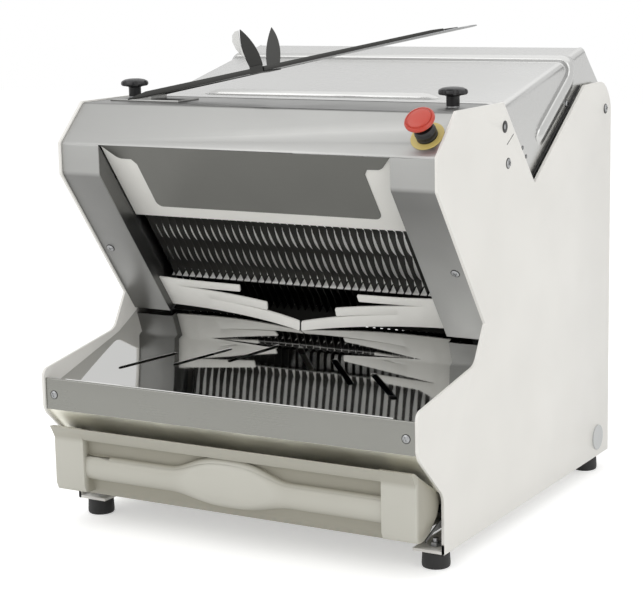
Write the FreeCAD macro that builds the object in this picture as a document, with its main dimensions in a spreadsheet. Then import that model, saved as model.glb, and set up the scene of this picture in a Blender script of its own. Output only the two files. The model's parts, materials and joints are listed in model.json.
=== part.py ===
"""Bench-top bread slicer: two reciprocating blade frames behind a leaning throat.

Millimetres, +Z up, the front faces -Y, x = 0 is the mid-plane and z = 0 the bench. Side-view
sizes are measured back from the fascia and up from the bench; each finished piece is then
moved forward by half the depth, so the origin lies under the middle of the machine.
The throat frame leans with the blades: its origin is the knee of the side panels, d runs
back into the machine, square to the blades, and s runs up along them.
"""
import FreeCAD, Part

import math
import os

import Sketcher
from FreeCAD import Placement, Rotation, Vector

SIZES = {
    # casing
    "half_width": 300, "panel_t": 4, "panel_rear": 663, "panel_top": 605, "sheet_t": 1.5,
    "reveal": 2, "bumper_out": 6, "corner_r": 10, "flange_w": 47, "hood_slope_y": 118,
    "band_drop": 54, "knee_y": 203, "knee_z": 312, "band_h": 44.836, "lean": 36, "rise_y": 173,
    "rise_z": 261, "nose_high": 233, "nose_low": 174, "skirt_y": 73, "skirt_z": 105,
    "notch_y": 370, "notch_front_y": 265,
    # feet and their bolts
    "foot_h": 24.5, "foot_r": 19.5, "foot_in": 23.4, "foot_front_y": 95.4, "bolt_r": 4,
    "bolt_head_r": 6.5, "bolt_head_h": 5.3,
    # throat: columns, deflector, guard, finger guides
    "column_w": 69, "column_foot": 36, "hood_rear": 252, "column_return": 26, "deflect_d": 27,
    "deflect_t": 1.2, "guard_t": 2.4, "finger_d": 9, "finger_t": 2.5, "fit_gap": 0.4,
    # slicing table
    "fascia_y": 3, "fascia_top": 221, "fascia_low": 176, "lip_y": 7, "lip_in": 38,
    "table_low_z": 203.5, "crease_y": 183, "crease_z": 255, "table_rear_y": 237,
    "table_rear_z": 284, "slot_w": 5,
    # blades and their frames
    "blade_pitch": 12, "blade_t": 0.6, "blade_d": 31, "blade_w": 14, "wave_pitch": 45.7,
    "wave_depth": 4.5, "wave_node": 24.5, "bar_w": 12, "bar_h": 14, "front_low": -97,
    "rear_low": -129, "upright_t": 5, "frame_out": 7, "frame_apart": 3, "pin_s": -95,
    "front_pin_d": 20, "rear_pin_d": 52, "pin_r": 6, "rod_r": 6, "run_fit": 0.05,
    "guide_out": 32, "guide_w": 24, "guide_h": 30, "guide_s": 40,
    # loaf hopper
    "floor_front_y": 268.3, "floor_front_z": 304.7, "floor_rear_z": 440, "hopper_out": 2.5,
    "side_d": 62,
    # lid and pusher
    "pivot_y": 268.2, "lid_front_r": 33.5, "roll_end": 50, "lid_gap": 10, "hinge_r": 7,
    "lid_tip_y": 388, "seal_w": 3.5, "bead_r": 5, "pusher_d": 46.5, "pusher_low": 11,
    "pusher_high": 150, "tooth_d": 18, "tooth_slot": 2.6, "arm_x": 180, "arm_t": 4,
    # drive
    "crank_y": 430, "crank_z": 125, "throw": 10, "shaft_r": 10, "sheave_r": 24, "rod_t": 10,
    "eye_r": 12, "strap_wall": 8, "pulley_r": 80, "pulley_w": 20, "pulley_x": -60,
    "motor_z": 108, "motor_r": 62, "motor_l": 210, "motor_pulley_r": 28, "motor_shaft_r": 9,
    "belt_t": 4,
    # floor pan, rear panel and rails
    "pan_front_y": 345, "rail": 20,
    # crumb drawer and its runners
    "drawer_gap": 10, "drawer_rear_y": 338, "drawer_lip_z": 152, "drawer_low_z": 54,
    "rim_low_z": 79, "rim_top_z": 98, "tray_low_z": 47, "drawer_wall": 3, "runner_front_y": 28,
    "runner_t": 2, "runner_shelf": 24,
    # emergency stop, star knobs, bagging tray
    "stop_in": 27.5, "stop_y": 89.5, "stop_disc_r": 23, "stop_collar_r": 14.5,
    "stop_collar_h": 17, "stop_head_r": 20.5, "stop_head_h": 14, "stop_gap": 5, "knob_in": 42,
    "knob_y": 195, "knob_r": 20, "knob_lobes": 7, "knob_head_h": 12, "knob_stem_r": 9,
    "knob_stem_h": 13.5, "washer_t": 1.6, "tray_in": 55.3, "tray_y": 158, "tray_w": 44,
    "tray_l": 517, "tray_tilt": 11.04, "tray_t": 1.2, "tray_sink": 1, "tray_flange": 6.5,
    "tongue_l": 36, "foot_plate_t": 3, "holder_at": 215, "holder_w": 21, "ear_h": 56,
    "ear_flare": 20,
}

# Sizes that follow the driving ones above, each as a formula of the sheet.
FOLLOWS = {
    # across: what lines up with the side panels, the columns or the blade frames
    "throat_half": "half_width - column_w", "lid_half": "half_width - lid_gap",
    "drawer_half": "half_width - drawer_gap", "tray_half": "drawer_half - 28",
    "lip_half": "half_width - lip_in", "foot_x": "half_width - foot_in",
    "stop_x": "half_width - stop_in", "knob_x": "half_width - knob_in",
    "tray_x": "tray_in - half_width", "rod_x": "throat_half + guide_out",
    "front_x": "throat_half + frame_out", "rear_x": "front_x + upright_t + frame_apart",
    "front_rod_x": "rear_x + upright_t + frame_apart",
    "rear_rod_x": "front_rod_x + rod_t + eye_r / 3", "hopper_half": "throat_half + hopper_out",
    "pusher_half": "throat_half - 9", "deflect_half": "throat_half - 49",
    "ear_half": "throat_half - 22",
    "blade_count": "2 * floor((throat_half - 15) / blade_pitch) + 1",
    # back: what keeps its place before the rear of the side panels
    "foot_rear_y": "panel_rear - 40.5", "rear_step_y": "panel_rear - 15",
    "crown_y": "panel_rear - 35", "notch_rear_y": "panel_rear - 107",
    "crest_y": "panel_rear - 78", "lid_rear_y": "panel_rear - 22",
    "lid_kink_y": "panel_rear - 113", "rear_panel_y": "panel_rear - 8",
    "back_top_y": "panel_rear - 65", "floor_rear_y": "panel_rear - 111",
    "motor_y": "panel_rear - 103",
    # up: what keeps its place below or above the top of the side panels
    "band_high": "panel_top - band_drop", "rear_high": "panel_top - 32",
    "rear_step_z": "panel_top - 8.5", "crown_z": "panel_top + 4",
    "notch_rear_z": "panel_top + 3", "notch_z": "panel_top - 121",
    "pivot_z": "panel_top - 33.3", "crest_z": "panel_top + 57.8",
    "lid_rear_z": "panel_top + 3", "lid_kink_z": "panel_top - 20",
    "lid_tip_z": "lid_kink_z - 100.5", "back_top_z": "panel_top - 33",
    # along the throat: what keeps its place below the top of the columns
    "column_run": "(band_high - band_h - knee_z) / cos(lean * 1deg)",
    "front_top": "column_run + 4", "rear_top": "column_run - 37",
    "guard_high": "column_run + 10", "guard_low": "column_run - 103.4",
    "deflect_high": "column_run + 32", "ear_low": "column_run + 7.5",
    "deflect_low": "column_run - 83",
}

# Lengths that follow from the sizes above, as expressions of the sheet.
SIN, COS = "sin(lean * 1deg)", "cos(lean * 1deg)"
INNER = "(half_width - panel_t)"
HALF_DEPTH = "((panel_rear + bumper_out) / 2)"
BAND_Y = f"(knee_y - column_run * {SIN})"
BAND_LOW = f"(knee_z + column_run * {COS})"
SEAT_Y = f"(knee_y + reveal * {COS})"
SEAT_Z = f"(knee_z + reveal * {SIN})"
HOOD_TOP = "(panel_top - reveal)"
HOOD_FRONT = f"({BAND_Y} + reveal)"
COLUMN_TOP = f"(({SEAT_Y} - {HOOD_FRONT}) / {SIN})"
FLANGE_TOP = "(foot_h + panel_t)"
BLADE_HALF_RUN = "((blade_count - 1) / 2 * blade_pitch)"

doc = FreeCAD.newDocument("bread_slicer")
sheet = doc.addObject("Spreadsheet::Sheet", "Sizes")
FORMULAS = {alias: f"={formula}" for alias, formula in FOLLOWS.items()}
for row, (alias, content) in enumerate({**SIZES, **FORMULAS}.items(), start=1):
    sheet.set(f"A{row}", alias)
    sheet.setAlias(f"B{row}", alias)
    sheet.set(f"B{row}", str(content))
doc.recompute()

NODES = []


# ---------------------------------------------------------------- helpers
def bound(text):
    """The expression with every size name pointed at the sheet."""
    words, word = [], ""
    for letter in text + " ":
        if letter.isalnum() or letter == "_":
            word += letter
            continue
        words.append(f"Sizes.{word}" if word in SIZES or word in FOLLOWS else word)
        words.append(letter)
        word = ""
    return "".join(words).strip()


def size(text):
    """The present value of an expression of the sheet's sizes."""
    value = sheet.evalExpression(bound(str(text)))
    return float(getattr(value, "Value", value))


def bind(thing, **properties):
    for name, text in properties.items():
        thing.setExpression(name, bound(str(text)))
    return thing


def keep(piece, label):
    """Marks a piece as a finished node of the machine."""
    piece.Label = label
    NODES.append(piece)
    return piece


def seat(piece, y="0", z="0", tilt="0", x="0"):
    """Moves a piece from side-view sizes to the machine's frame, tilted about X."""
    if piece.TypeId in ("Part::Box", "Part::Cylinder"):
        piece = group("Seated", [piece])
    piece.Placement = Placement(Vector(), Rotation(Vector(1, 0, 0), size(tilt)))
    piece.setExpression(".Placement.Base.x", bound(x))
    piece.setExpression(".Placement.Base.y", bound(f"{y} - {HALF_DEPTH}"))
    piece.setExpression(".Placement.Base.z", bound(z))
    return piece


def seat_in_throat(piece):
    return seat(piece, SEAT_Y, SEAT_Z, "lean")


def throat_point(d, s):
    """Side-view expressions of a point of the throat frame."""
    return (f"{SEAT_Y} + ({d}) * {COS} - ({s}) * {SIN}",
            f"{SEAT_Z} + ({d}) * {SIN} + ({s}) * {COS}")


def fix_point(sketch, edge, end, point):
    for kind, text in zip(("DistanceX", "DistanceY"), point):
        number = sketch.addConstraint(
            Sketcher.Constraint(kind, -1, 1, edge, end, size(text)))
        sketch.setExpression(f"Constraints[{number}]", bound(text))


def draw(sketch, points, closed=True):
    """Draws a polygon or polyline whose corners are expressions of the sheet."""
    corners = [Vector(size(u), size(v), 0) for u, v in points]
    count = len(points) if closed else len(points) - 1
    edges = [
        sketch.addGeometry(Part.LineSegment(corners[n], corners[(n + 1) % len(points)]), False)
        for n in range(count)]
    for number in range(count if closed else count - 1):
        sketch.addConstraint(Sketcher.Constraint(
            "Coincident", edges[number], 2, edges[(number + 1) % count], 1))
    for number, point in enumerate(points):
        if number < count:
            fix_point(sketch, edges[number], 1, point)
        else:
            fix_point(sketch, edges[-1], 2, point)


def draw_circle(sketch, centre, radius):
    number = sketch.addGeometry(
        Part.Circle(Vector(size(centre[0]), size(centre[1]), 0), Vector(0, 0, 1), size(radius)))
    fix_point(sketch, number, 3, centre)
    datum = sketch.addConstraint(Sketcher.Constraint("Radius", number, size(radius)))
    sketch.setExpression(f"Constraints[{datum}]", bound(radius))


def sketch_in(body, role, offset="0"):
    plane = next(item for item in body.Origin.OriginFeatures if item.Role == role)
    sketch = body.newObject("Sketcher::SketchObject", "Profile")
    sketch.AttachmentSupport = [(plane, "")]
    sketch.MapMode = "FlatFace"
    sketch.setExpression(".AttachmentOffset.Base.z", bound(offset))
    return sketch


def pad(body, sketch, length, kind="PartDesign::Pad", **settings):
    feature = body.newObject(kind, "Pad")
    feature.Profile = sketch
    bind(feature, Length=length)
    for name, value in settings.items():
        setattr(feature, name, value)
    doc.recompute()
    return feature


def cut_in(body, sketch, length, **settings):
    """A pocket that must take material away."""
    before = body.Shape.Volume
    feature = pad(body, sketch, length, "PartDesign::Pocket", **settings)
    if body.Shape.Volume >= before:
        feature.Reversed = not feature.Reversed
        doc.recompute()
    assert body.Shape.Volume < before, body.Label
    return feature


def slab(label, points, thickness, role="YZ_Plane", offset="0"):
    """A body padded once from a polygon."""
    body = doc.addObject("PartDesign::Body", label)
    sketch = sketch_in(body, role, offset)
    draw(sketch, points)
    pad(body, sketch, thickness)
    return body


def edges_at(shape, corners):
    """Names of the edges along X that pass through the given side-view corners."""
    names = []
    for number, edge in enumerate(shape.Edges, start=1):
        first, last = edge.Vertexes[0].Point, edge.Vertexes[-1].Point
        along = abs(first.y - last.y) + abs(first.z - last.z) < 0.01
        if along and any(abs(first.y - y) + abs(first.z - z) < 0.1 for y, z in corners):
            names.append(f"Edge{number}")
    return names


def folded(label, points, thickness, width):
    """Sheet metal folded along X: a side-view line, thickened to one side and extruded."""
    line = doc.addObject("Sketcher::SketchObject", label + "_line")
    line.Placement = Placement(
        Vector(), Rotation(Vector(0, 1, 0), Vector(0, 0, 1), Vector(1, 0, 0), "ZXY"))
    draw(line, points, closed=False)
    return thickened(label, line, thickness, width)


def thickened(label, line, thickness, width):
    section = doc.addObject("Part::Offset2D", label + "_section")
    section.Source = line
    section.Mode, section.Join, section.Fill = "Skin", "Intersection", True
    bind(section, Value=thickness)
    piece = doc.addObject("Part::Extrusion", label)
    piece.Base = section
    piece.DirMode, piece.Dir, piece.Solid = "Custom", Vector(1, 0, 0), True
    piece.Symmetric = True
    bind(piece, LengthFwd=width)
    doc.recompute()
    return piece


def block(x, y, z, length, width, height):
    """A box by its low corner and sizes."""
    piece = bind(doc.addObject("Part::Box", "Block"), Length=length, Width=width, Height=height)
    for axis, text in zip("xyz", (x, y, z)):
        piece.setExpression(f".Placement.Base.{axis}", bound(text))
    return piece


def rod(radius, length, x="0", y="0", z="0", along="z"):
    """A cylinder from a point along x, y or z."""
    piece = bind(doc.addObject("Part::Cylinder", "Rod"), Radius=radius, Height=length)
    turn = {"x": Rotation(Vector(0, 1, 0), 90), "y": Rotation(Vector(1, 0, 0), -90),
            "z": Rotation()}
    piece.Placement = Placement(Vector(), turn[along])
    for axis, text in zip("xyz", (x, y, z)):
        piece.setExpression(f".Placement.Base.{axis}", bound(text))
    return piece


def fuse(label, pieces):
    whole = doc.addObject("Part::MultiFuse", label)
    whole.Shapes = pieces
    return whole


def cut(label, base, tools):
    piece = doc.addObject("Part::Cut", label)
    piece.Base = base
    piece.Tool = tools[0] if len(tools) == 1 else fuse(label + "_tool", tools)
    return piece


def group(label, pieces):
    whole = doc.addObject("Part::Compound", label)
    whole.Links = pieces
    return whole


def mirrored(source, label):
    piece = doc.addObject("Part::Mirroring", label)
    piece.Source = source
    piece.Normal = Vector(1, 0, 0)
    return keep(piece, label)


def pair(piece, name):
    """Keeps a right-hand piece and its mirror image."""
    keep(piece, name + "_right")
    mirrored(piece, name + "_left")


def both_sides(label, pieces):
    """Keeps right-hand pieces and their mirror images as the solids of one node."""
    right = group(label + "_right_set", pieces)
    left = doc.addObject("Part::Mirroring", label + "_left_set")
    left.Source, left.Normal = right, Vector(1, 0, 0)
    return keep(group(label, [right, left]), label)


def shaped(label, shape):
    piece = doc.addObject("Part::Feature", label)
    piece.Shape = shape
    return piece


# ---------------------------------------------------------------- casing
PANEL = [
    ("hood_slope_y", "panel_top"), (BAND_Y, "band_high"), (BAND_Y, BAND_LOW),
    ("knee_y", "knee_z"), ("rise_y", "rise_z"), ("0", "nose_high"), ("0", "nose_low"),
    ("skirt_y", "skirt_z"), ("skirt_y", "foot_h"), ("panel_rear", "foot_h"),
    ("panel_rear", "rear_high"), ("rear_step_y", "rear_step_z"), ("crown_y", "crown_z"),
    ("notch_rear_y", "notch_rear_z"), ("notch_y", "notch_z"), ("notch_front_y", "panel_top"),
]
ROUNDED = PANEL[4:8] + PANEL[10:13]
CAP = ("panel_rear - 46.4", "54.6")


def side_panels():
    """Painted plate with the loading notch, and a flange at the bottom for the feet."""
    body = slab("side_panel", PANEL, "panel_t", offset=INNER)
    flange = sketch_in(body, "YZ_Plane", "half_width - flange_w")
    draw(flange, [("skirt_y", "foot_h"), ("panel_rear", "foot_h"),
                  ("panel_rear", FLANGE_TOP), ("skirt_y", FLANGE_TOP)])
    pad(body, flange, "flange_w - panel_t")
    corners = [(size(y), size(z)) for y, z in ROUNDED]
    plate = body.Tip
    rounding = body.newObject("PartDesign::Fillet", "Corners")
    rounding.Base = (plate, edges_at(body.Shape, corners))
    bind(rounding, Radius="corner_r")
    doc.recompute()
    holes = sketch_in(body, "YZ_Plane", INNER)
    draw_circle(holes, ("pivot_y", "pivot_z"), "hinge_r")
    draw_circle(holes, CAP, "foot_r - 5")
    cut_in(body, holes, "panel_t", Reversed=True)
    bolt_holes = sketch_in(body, "XY_Plane", "foot_h")
    for y in ("foot_front_y", "foot_rear_y"):
        draw_circle(bolt_holes, ("foot_x", y), "bolt_r")
    cut_in(body, bolt_holes, "panel_t", Reversed=True)
    pair(seat(body), "side_panel")


def front_hood():
    """One folded sheet: two leaning columns, a band, a slope and the top."""
    foot = throat_point("0", "-column_foot")
    front = folded("hood_sheet", [
        foot, (HOOD_FRONT, f"{SEAT_Z} + {COLUMN_TOP} * {COS}"),
        (HOOD_FRONT, "band_high - reveal / 2"),
        ("hood_slope_y + reveal / 2", HOOD_TOP), ("hood_rear", HOOD_TOP)],
        "sheet_t", f"2 * {INNER}")
    throat = block("-throat_half", "0", "0", "2 * throat_half",
                   "knee_y + column_run", "band_high - reveal")
    openings = [throat]
    for side in (1, -1):
        openings.append(rod("knob_stem_r / 2", "sheet_t * 4", f"{side} * knob_x", "knob_y",
                            f"{HOOD_TOP} - sheet_t * 2"))
    stop = rod("stop_collar_r - 3 + fit_gap", "sheet_t * 8", "stop_x")
    stop.Placement.Rotation = Rotation(Vector(1, 0, 0), slope_tilt())
    for axis, text in zip("yz", slope_point("-sheet_t * 4")):
        stop.setExpression(f".Placement.Base.{axis}", bound(text))
    openings.append(stop)
    shell = cut("hood_shell", front, openings)
    returns = []
    for side in (1, -1):
        wall = slab("column_return", [
            ("sheet_t", "-column_foot"), ("column_return", "-column_foot"),
            ("column_return", "band_high - knee_z"), ("sheet_t", f"{COLUMN_TOP} - 1")],
            "sheet_t", offset="throat_half" if side > 0 else "-throat_half - sheet_t")
        wall.Placement = Placement(Vector(), Rotation(Vector(1, 0, 0), size("lean")))
        wall.setExpression(".Placement.Base.y", bound(SEAT_Y))
        wall.setExpression(".Placement.Base.z", bound(SEAT_Z))
        returns.append(wall)
    keep(seat(fuse("front_hood", [shell] + returns)), "front_hood")


def slope_tilt():
    """The angle of the hood's slope above the bench, in degrees."""
    run = size(f"hood_slope_y - {BAND_Y} - reveal / 2")
    return math.degrees(math.atan2(size("panel_top - band_high - reveal / 2"), run))


def slope_point(out):
    """Side-view expressions of the stop's axis, a distance out from the hood's slope."""
    tilt = slope_tilt()
    run = f"(hood_slope_y + reveal / 2 - stop_y) * {math.tan(math.radians(tilt)):.5f}"
    return (f"stop_y - ({out}) * sin({tilt:.4f}deg)",
            f"{HOOD_TOP} - {run} + ({out}) * cos({tilt:.4f}deg)")


def deflector_and_guard():
    """A polished deflector hung from the hood's edge, backed by a white guard."""
    corners = [
        ("-deflect_half", "deflect_low"), ("deflect_half", "deflect_low"),
        ("deflect_half", "ear_low"), ("ear_half", "ear_low"),
        ("throat_half - fit_gap", "deflect_high"),
        ("fit_gap - throat_half", "deflect_high"),
        ("-ear_half", "ear_low"), ("-deflect_half", "ear_low")]
    deflector = slab("deflector_plate", corners, "deflect_t", "XZ_Plane",
                     "-deflect_d - deflect_t")
    keep(seat_in_throat(deflector), "deflector_plate")
    edge = "throat_half - fit_gap"
    guard = slab("guard_plate", [
        (f"-({edge})", "guard_low"), (edge, "guard_low"), (edge, "guard_high"),
        (f"-({edge})", "guard_high")], "guard_t", "XZ_Plane",
        "-deflect_d - deflect_t - guard_t")
    keep(seat_in_throat(guard), "guard_plate")


def finger_guides():
    """White plastic plates at the column edges, each with three drooping fingers."""
    root = "throat_half"
    fingers = [
        (root, "24"), ("97.5", "12.5"), ("98.5", "1"), ("205", "8"), ("56.5", "-5"),
        ("57.5", "-20.5"), ("150", "-13"), ("1.5", "-26"), ("1.5", "-40"), ("120", "-37"),
        (root, "-33")]
    body = slab("finger_guide", fingers, "finger_t", "XZ_Plane", "-finger_d - finger_t")
    pair(seat_in_throat(body), "finger_guide")


def table():
    """Polished outfeed table with a front lip, a crease and six slanting slots."""
    plate = folded("table_sheet", [
        ("lip_y", "fascia_top + sheet_t"), ("lip_y", "table_low_z"),
        ("crease_y", "crease_z"), ("table_rear_y", "table_rear_z")],
        "sheet_t", f"2 * {INNER}")
    slots = []
    for near, far in (((66, 134), (20, 184)), ((143, 109), (87, 164)), ((222, 85), (164, 137))):
        for side in (1, -1):
            slots.append(slot_tool(Vector(side * near[0], near[1]), Vector(side * far[0], far[1])))
    ends = [block(f"{start}", "0", "table_low_z + 8", f"{INNER} - lip_half + 1", "lip_y + 6",
                  "rail") for start in (f"-{INNER} - 1", "lip_half")]
    keep(seat(cut("outfeed_table", plate, slots + ends)), "outfeed_table")
    fascia = folded("front_fascia", [
        ("fascia_y", "fascia_low"), ("fascia_y", "fascia_top"),
        ("lip_y - sheet_t - fit_gap", "fascia_top")],
        "sheet_t", f"2 * {INNER}")
    keep(seat(fascia), "front_fascia")
    chute = folded("crumb_chute", [
        ("fascia_y + sheet_t", "fascia_low + 6"), ("fascia_y + sheet_t", "fascia_low"),
        ("skirt_y - 1", "skirt_z + 4"), ("skirt_y + 3", "skirt_z + 26")],
        "-sheet_t", f"2 * {INNER}")
    keep(seat(chute), "crumb_chute")


def slot_tool(near, far):
    """An upright prism with round ends, to cut one slot."""
    along = (far - near).normalize()
    side = Vector(-along.y, along.x, 0) * (size("slot_w") / 2)
    end = along * (size("slot_w") / 2)
    wire = Part.Wire([
        Part.LineSegment(near + side, far + side).toShape(),
        Part.Arc(far + side, far + end, far - side).toShape(),
        Part.LineSegment(far - side, near - side).toShape(),
        Part.Arc(near - side, near - end, near + side).toShape()])
    prism = Part.Face(wire).extrude(Vector(0, 0, size("knee_z")))
    return shaped("slot_tool", prism)


def feet():
    pads, bolts, nuts = [], [], []
    for y in ("foot_front_y", "foot_rear_y"):
        foot = cut("foot", rod("foot_r", "foot_h"),
                   [rod("bolt_r", "foot_h / 2", z="foot_h / 2")])
        pads.append(seat(foot, y, x="foot_x"))
        bolts.append(seat(rod("bolt_r", "foot_h / 2 + panel_t + bolt_head_h * 2"),
                          y, "foot_h / 2", x="foot_x"))
        nut = doc.addObject("Part::Prism", "Nut")
        nut.Polygon = 6
        bind(nut, Circumradius="bolt_head_r + 1", Height="bolt_head_h")
        bored = cut("foot_nut", nut, [rod("bolt_r", "bolt_head_h")])
        nuts.append(seat(bored, y, FLANGE_TOP, x="foot_x"))
    both_sides("feet", pads)
    both_sides("foot_bolts", bolts)
    both_sides("foot_nuts", nuts)


def casing_details():
    """Round plugs, casing screws, rear bumpers on their standoffs, and the power inlet."""
    plug = fuse("side_plug", [
        rod("foot_r", "panel_t / 2", "half_width", *CAP, along="x"),
        rod("foot_r - 5", "panel_t", INNER, *CAP, along="x")])
    both_sides("side_plugs", [seat(plug)])
    head = "panel_t * 0.6"
    screws = [seat(rod("bolt_r + 1", head, "half_width", y, z, along="x"))
              for y, z in (("279.6", "520"), ("653", "566.5"))]
    screws.append(seat(rod("bolt_r", head, "280", f"fascia_y - {head}", "195.5", along="y")))
    y, z = throat_point(f"-{head}", "100")
    column_screw = rod("bolt_r", head)
    column_screw.Placement = Placement(Vector(), Rotation(Vector(1, 0, 0), size("lean") - 90))
    for axis, text in zip("xyz", ("half_width - 14", f"{y} - {HALF_DEPTH}", z)):
        column_screw.setExpression(f".Placement.Base.{axis}", bound(text))
    screws.append(column_screw)
    both_sides("casing_screws", screws)
    bumpers = []
    for z in ("rear_high - 20", "foot_h + 60"):
        back = "rear_panel_y + sheet_t"
        bumpers.append(seat(fuse("bumper", [
            rod("bolt_head_r + 2", "bumper_out", "half_width - 20", "panel_rear", z, along="y"),
            rod("bolt_head_r", f"panel_rear - {back}", "half_width - 20", back, z,
                along="y")])))
    both_sides("rear_bumpers", bumpers)
    inlet = cut("power_inlet", block("150", "rear_panel_y - 16", "60", "48", "26", "28"),
                [block("155", "rear_panel_y - 10", "65", "38", "30", "18")])
    keep(seat(inlet), "power_inlet")


def pan_and_rails():
    """Floor pan, rear panel and three square rails between the side panels."""
    pan = slab("floor_pan", [
        (f"-{INNER}", FLANGE_TOP), (INNER, FLANGE_TOP), (INNER, f"{FLANGE_TOP} + reveal"),
        (f"-{INNER}", f"{FLANGE_TOP} + reveal")],
        "rear_panel_y - pan_front_y", "XZ_Plane", "-rear_panel_y")
    nut_holes = sketch_in(pan, "XY_Plane", FLANGE_TOP)
    for side in (1, -1):
        draw_circle(nut_holes, (f"{side} * foot_x", "foot_rear_y"), "bolt_head_r + 3")
    cut_in(pan, nut_holes, "reveal", Reversed=True)
    keep(seat(pan), "floor_pan")
    rear = doc.addObject("PartDesign::Body", "rear_panel")
    outline = sketch_in(rear, "XZ_Plane", "-rear_panel_y - sheet_t")
    draw(outline, [(f"-{INNER}", FLANGE_TOP), (INNER, FLANGE_TOP),
                   (INNER, "rear_step_z - 6"), (f"-{INNER}", "rear_step_z - 6")])
    draw(outline, [("150", "60"), ("198", "60"), ("198", "88"), ("150", "88")])
    pad(rear, outline, "sheet_t")
    vents = sketch_in(rear, "XZ_Plane", "-rear_panel_y - sheet_t")
    draw(vents, [("-180", "150"), ("-60", "150"), ("-60", "155"), ("-180", "155")])
    slot = cut_in(rear, vents, "sheet_t * 2", Midplane=True)
    rows = rear.newObject("PartDesign::LinearPattern", "VentRows")
    rows.Originals = [slot]
    rows.Direction = (vents, ["V_Axis"])
    rows.Occurrences = 7
    bind(rows, Length="6 * rail * 0.6")
    rear.Tip = rows
    keep(seat(rear), "rear_panel")
    rails = []
    for y, z in (("140", "back_top_z"), ("floor_rear_y + 64", "rear_high - 13"),
                 ("340", "312")):
        rails.append(seat(cut("cross_rail", block(
            f"-{INNER}", y, z, f"2 * {INNER}", "rail", "rail"), [block(
                f"-{INNER}", f"{y} + reveal", f"{z} + reveal", f"2 * {INNER}",
                "rail - 2 * reveal", "rail - 2 * reveal")])))
    keep(group("cross_rails", rails), "cross_rails")


# ---------------------------------------------------------------- blades and frames
def blade_shape(x, low, high, tab_low, tab_d):
    """One blade: straight front edge, wavy cutting edge behind, and a hook at one end."""
    front, back = size("blade_d"), size("blade_d + blade_w")
    pitch, depth = size("wave_pitch"), size("wave_depth")
    first = size("wave_node") - math.floor((size("wave_node") - low) / pitch) * pitch
    waves = int((high - first) / pitch)
    edges, start = [], first
    for _ in range(waves):
        end = start + pitch
        edges.append(Part.Arc(Vector(x, back, start),
                              Vector(x, back - depth, (start + end) / 2),
                              Vector(x, back, end)).toShape())
        start = end
    for below, above in ((low, first), (start, high)):
        if above - below > 0.01:
            edges.append(Part.LineSegment(Vector(x, back, below),
                                          Vector(x, back, above)).toShape())
    tab_high = tab_low + size("bar_h") - 4
    corners = [(back, high), (front, high), (front, tab_high), (tab_d, tab_high),
               (tab_d, tab_low), (front, tab_low), (front, low), (back, low)]
    if tab_d > front:
        corners = [(back, high), (front, high), (front, low), (back, low)]
    points = [Vector(x, d, s) for d, s in corners]
    for first, second in zip(points, points[1:]):
        if first.distanceToPoint(second) > 0.001:
            edges.append(Part.LineSegment(first, second).toShape())
    face = Part.Face(Part.Wire(Part.__sortEdges__(edges)))
    blade = face.extrude(Vector(size("blade_t"), 0, 0))
    if tab_d > front:
        hook = Part.makeBox(size("blade_t"), tab_d - back + depth, size("bar_h") - 4,
                            Vector(x, back - depth, tab_low))
        blade = blade.fuse(hook).removeSplitter()
    return blade.Solids[0]


def blade_set(label, first, low, high, tab_low, tab_d):
    """Every second blade, as separate solids of one node."""
    start = -size(BLADE_HALF_RUN) - size("blade_t") / 2
    blades = [blade_shape(start + size("blade_pitch") * number, low, high, tab_low, tab_d)
              for number in range(first, round(size("blade_count")), 2)]
    keep(seat_in_throat(shaped(label, Part.makeCompound(blades))), label)


def blades():
    blade_set("front_blades", 0, size("front_low"), size("front_top"),
              size("front_low + 2"), size("blade_d - 1"))
    blade_set("rear_blades", 1, size("rear_low"), size("rear_top + bar_h"),
              size("rear_top + 2"), size("blade_d + blade_w + 2"))


def front_frame():
    """Top bar in the blades' plane, bottom bar before it, uprights outside the throat."""
    x, t = "front_x", "upright_t"
    low_d = "blade_d - 1 - bar_w"
    parts = [
        block(f"-{x}", "blade_d", "front_top", f"2 * {x}", "bar_w", "bar_h"),
        block(f"-{x}", low_d, "front_low", f"2 * {x}", "bar_w", "bar_h")]
    for offset in (x, f"-{x} - {t}"):
        parts.append(slab("front_upright", [
            (f"{low_d} - 6", "front_low - 10"), ("blade_d + bar_w", "front_low - 10"),
            ("blade_d + bar_w", "front_top + bar_h"), ("blade_d", "front_top + bar_h"),
            ("blade_d", "guard_high * 0.6"), (f"{low_d} - 6", "guard_high / 2")],
            t, offset=offset))
    parts.append(frame_pin(x, "front_pin_d", "front_rod_x"))
    parts.append(frame_pin(x, "front_pin_d", "front_rod_x", left=True))
    keep(seat_in_throat(fuse("front_blade_frame", parts)), "front_blade_frame")


def rear_frame():
    """Top bar_w behind the blades' plane, bottom bar_w in it."""
    x, t = "rear_x", "upright_t"
    high_d = "blade_d + blade_w + 2"
    parts = [
        block(f"-{x}", high_d, "rear_top", f"2 * {x}", "bar_w", "bar_h"),
        block(f"-{x}", "blade_d", "rear_low - bar_h", f"2 * {x}", "bar_w", "bar_h")]
    for offset in (x, f"-{x} - {t}"):
        parts.append(slab("rear_upright", [
            ("blade_d", "rear_low - bar_h"), (f"{high_d} + bar_w", "rear_low - bar_h"),
            (f"{high_d} + bar_w", "rear_top + bar_h"), ("blade_d", "rear_top + bar_h")],
            t, offset=offset))
    parts.append(frame_pin(x, "rear_pin_d", "rear_rod_x"))
    parts.append(frame_pin(x, "rear_pin_d", "rear_rod_x", left=True))
    keep(seat_in_throat(fuse("rear_blade_frame", parts)), "rear_blade_frame")


def frame_pin(x, d, rod_face, left=False):
    """A wrist pin that ends a hair before the connecting rod's eye."""
    length = f"{rod_face} - {x} - upright_t - fit_gap"
    start = f"-{rod_face} + fit_gap" if left else f"{x} + upright_t"
    return rod("pin_r", length, start, d, "pin_s", along="x")


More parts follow.
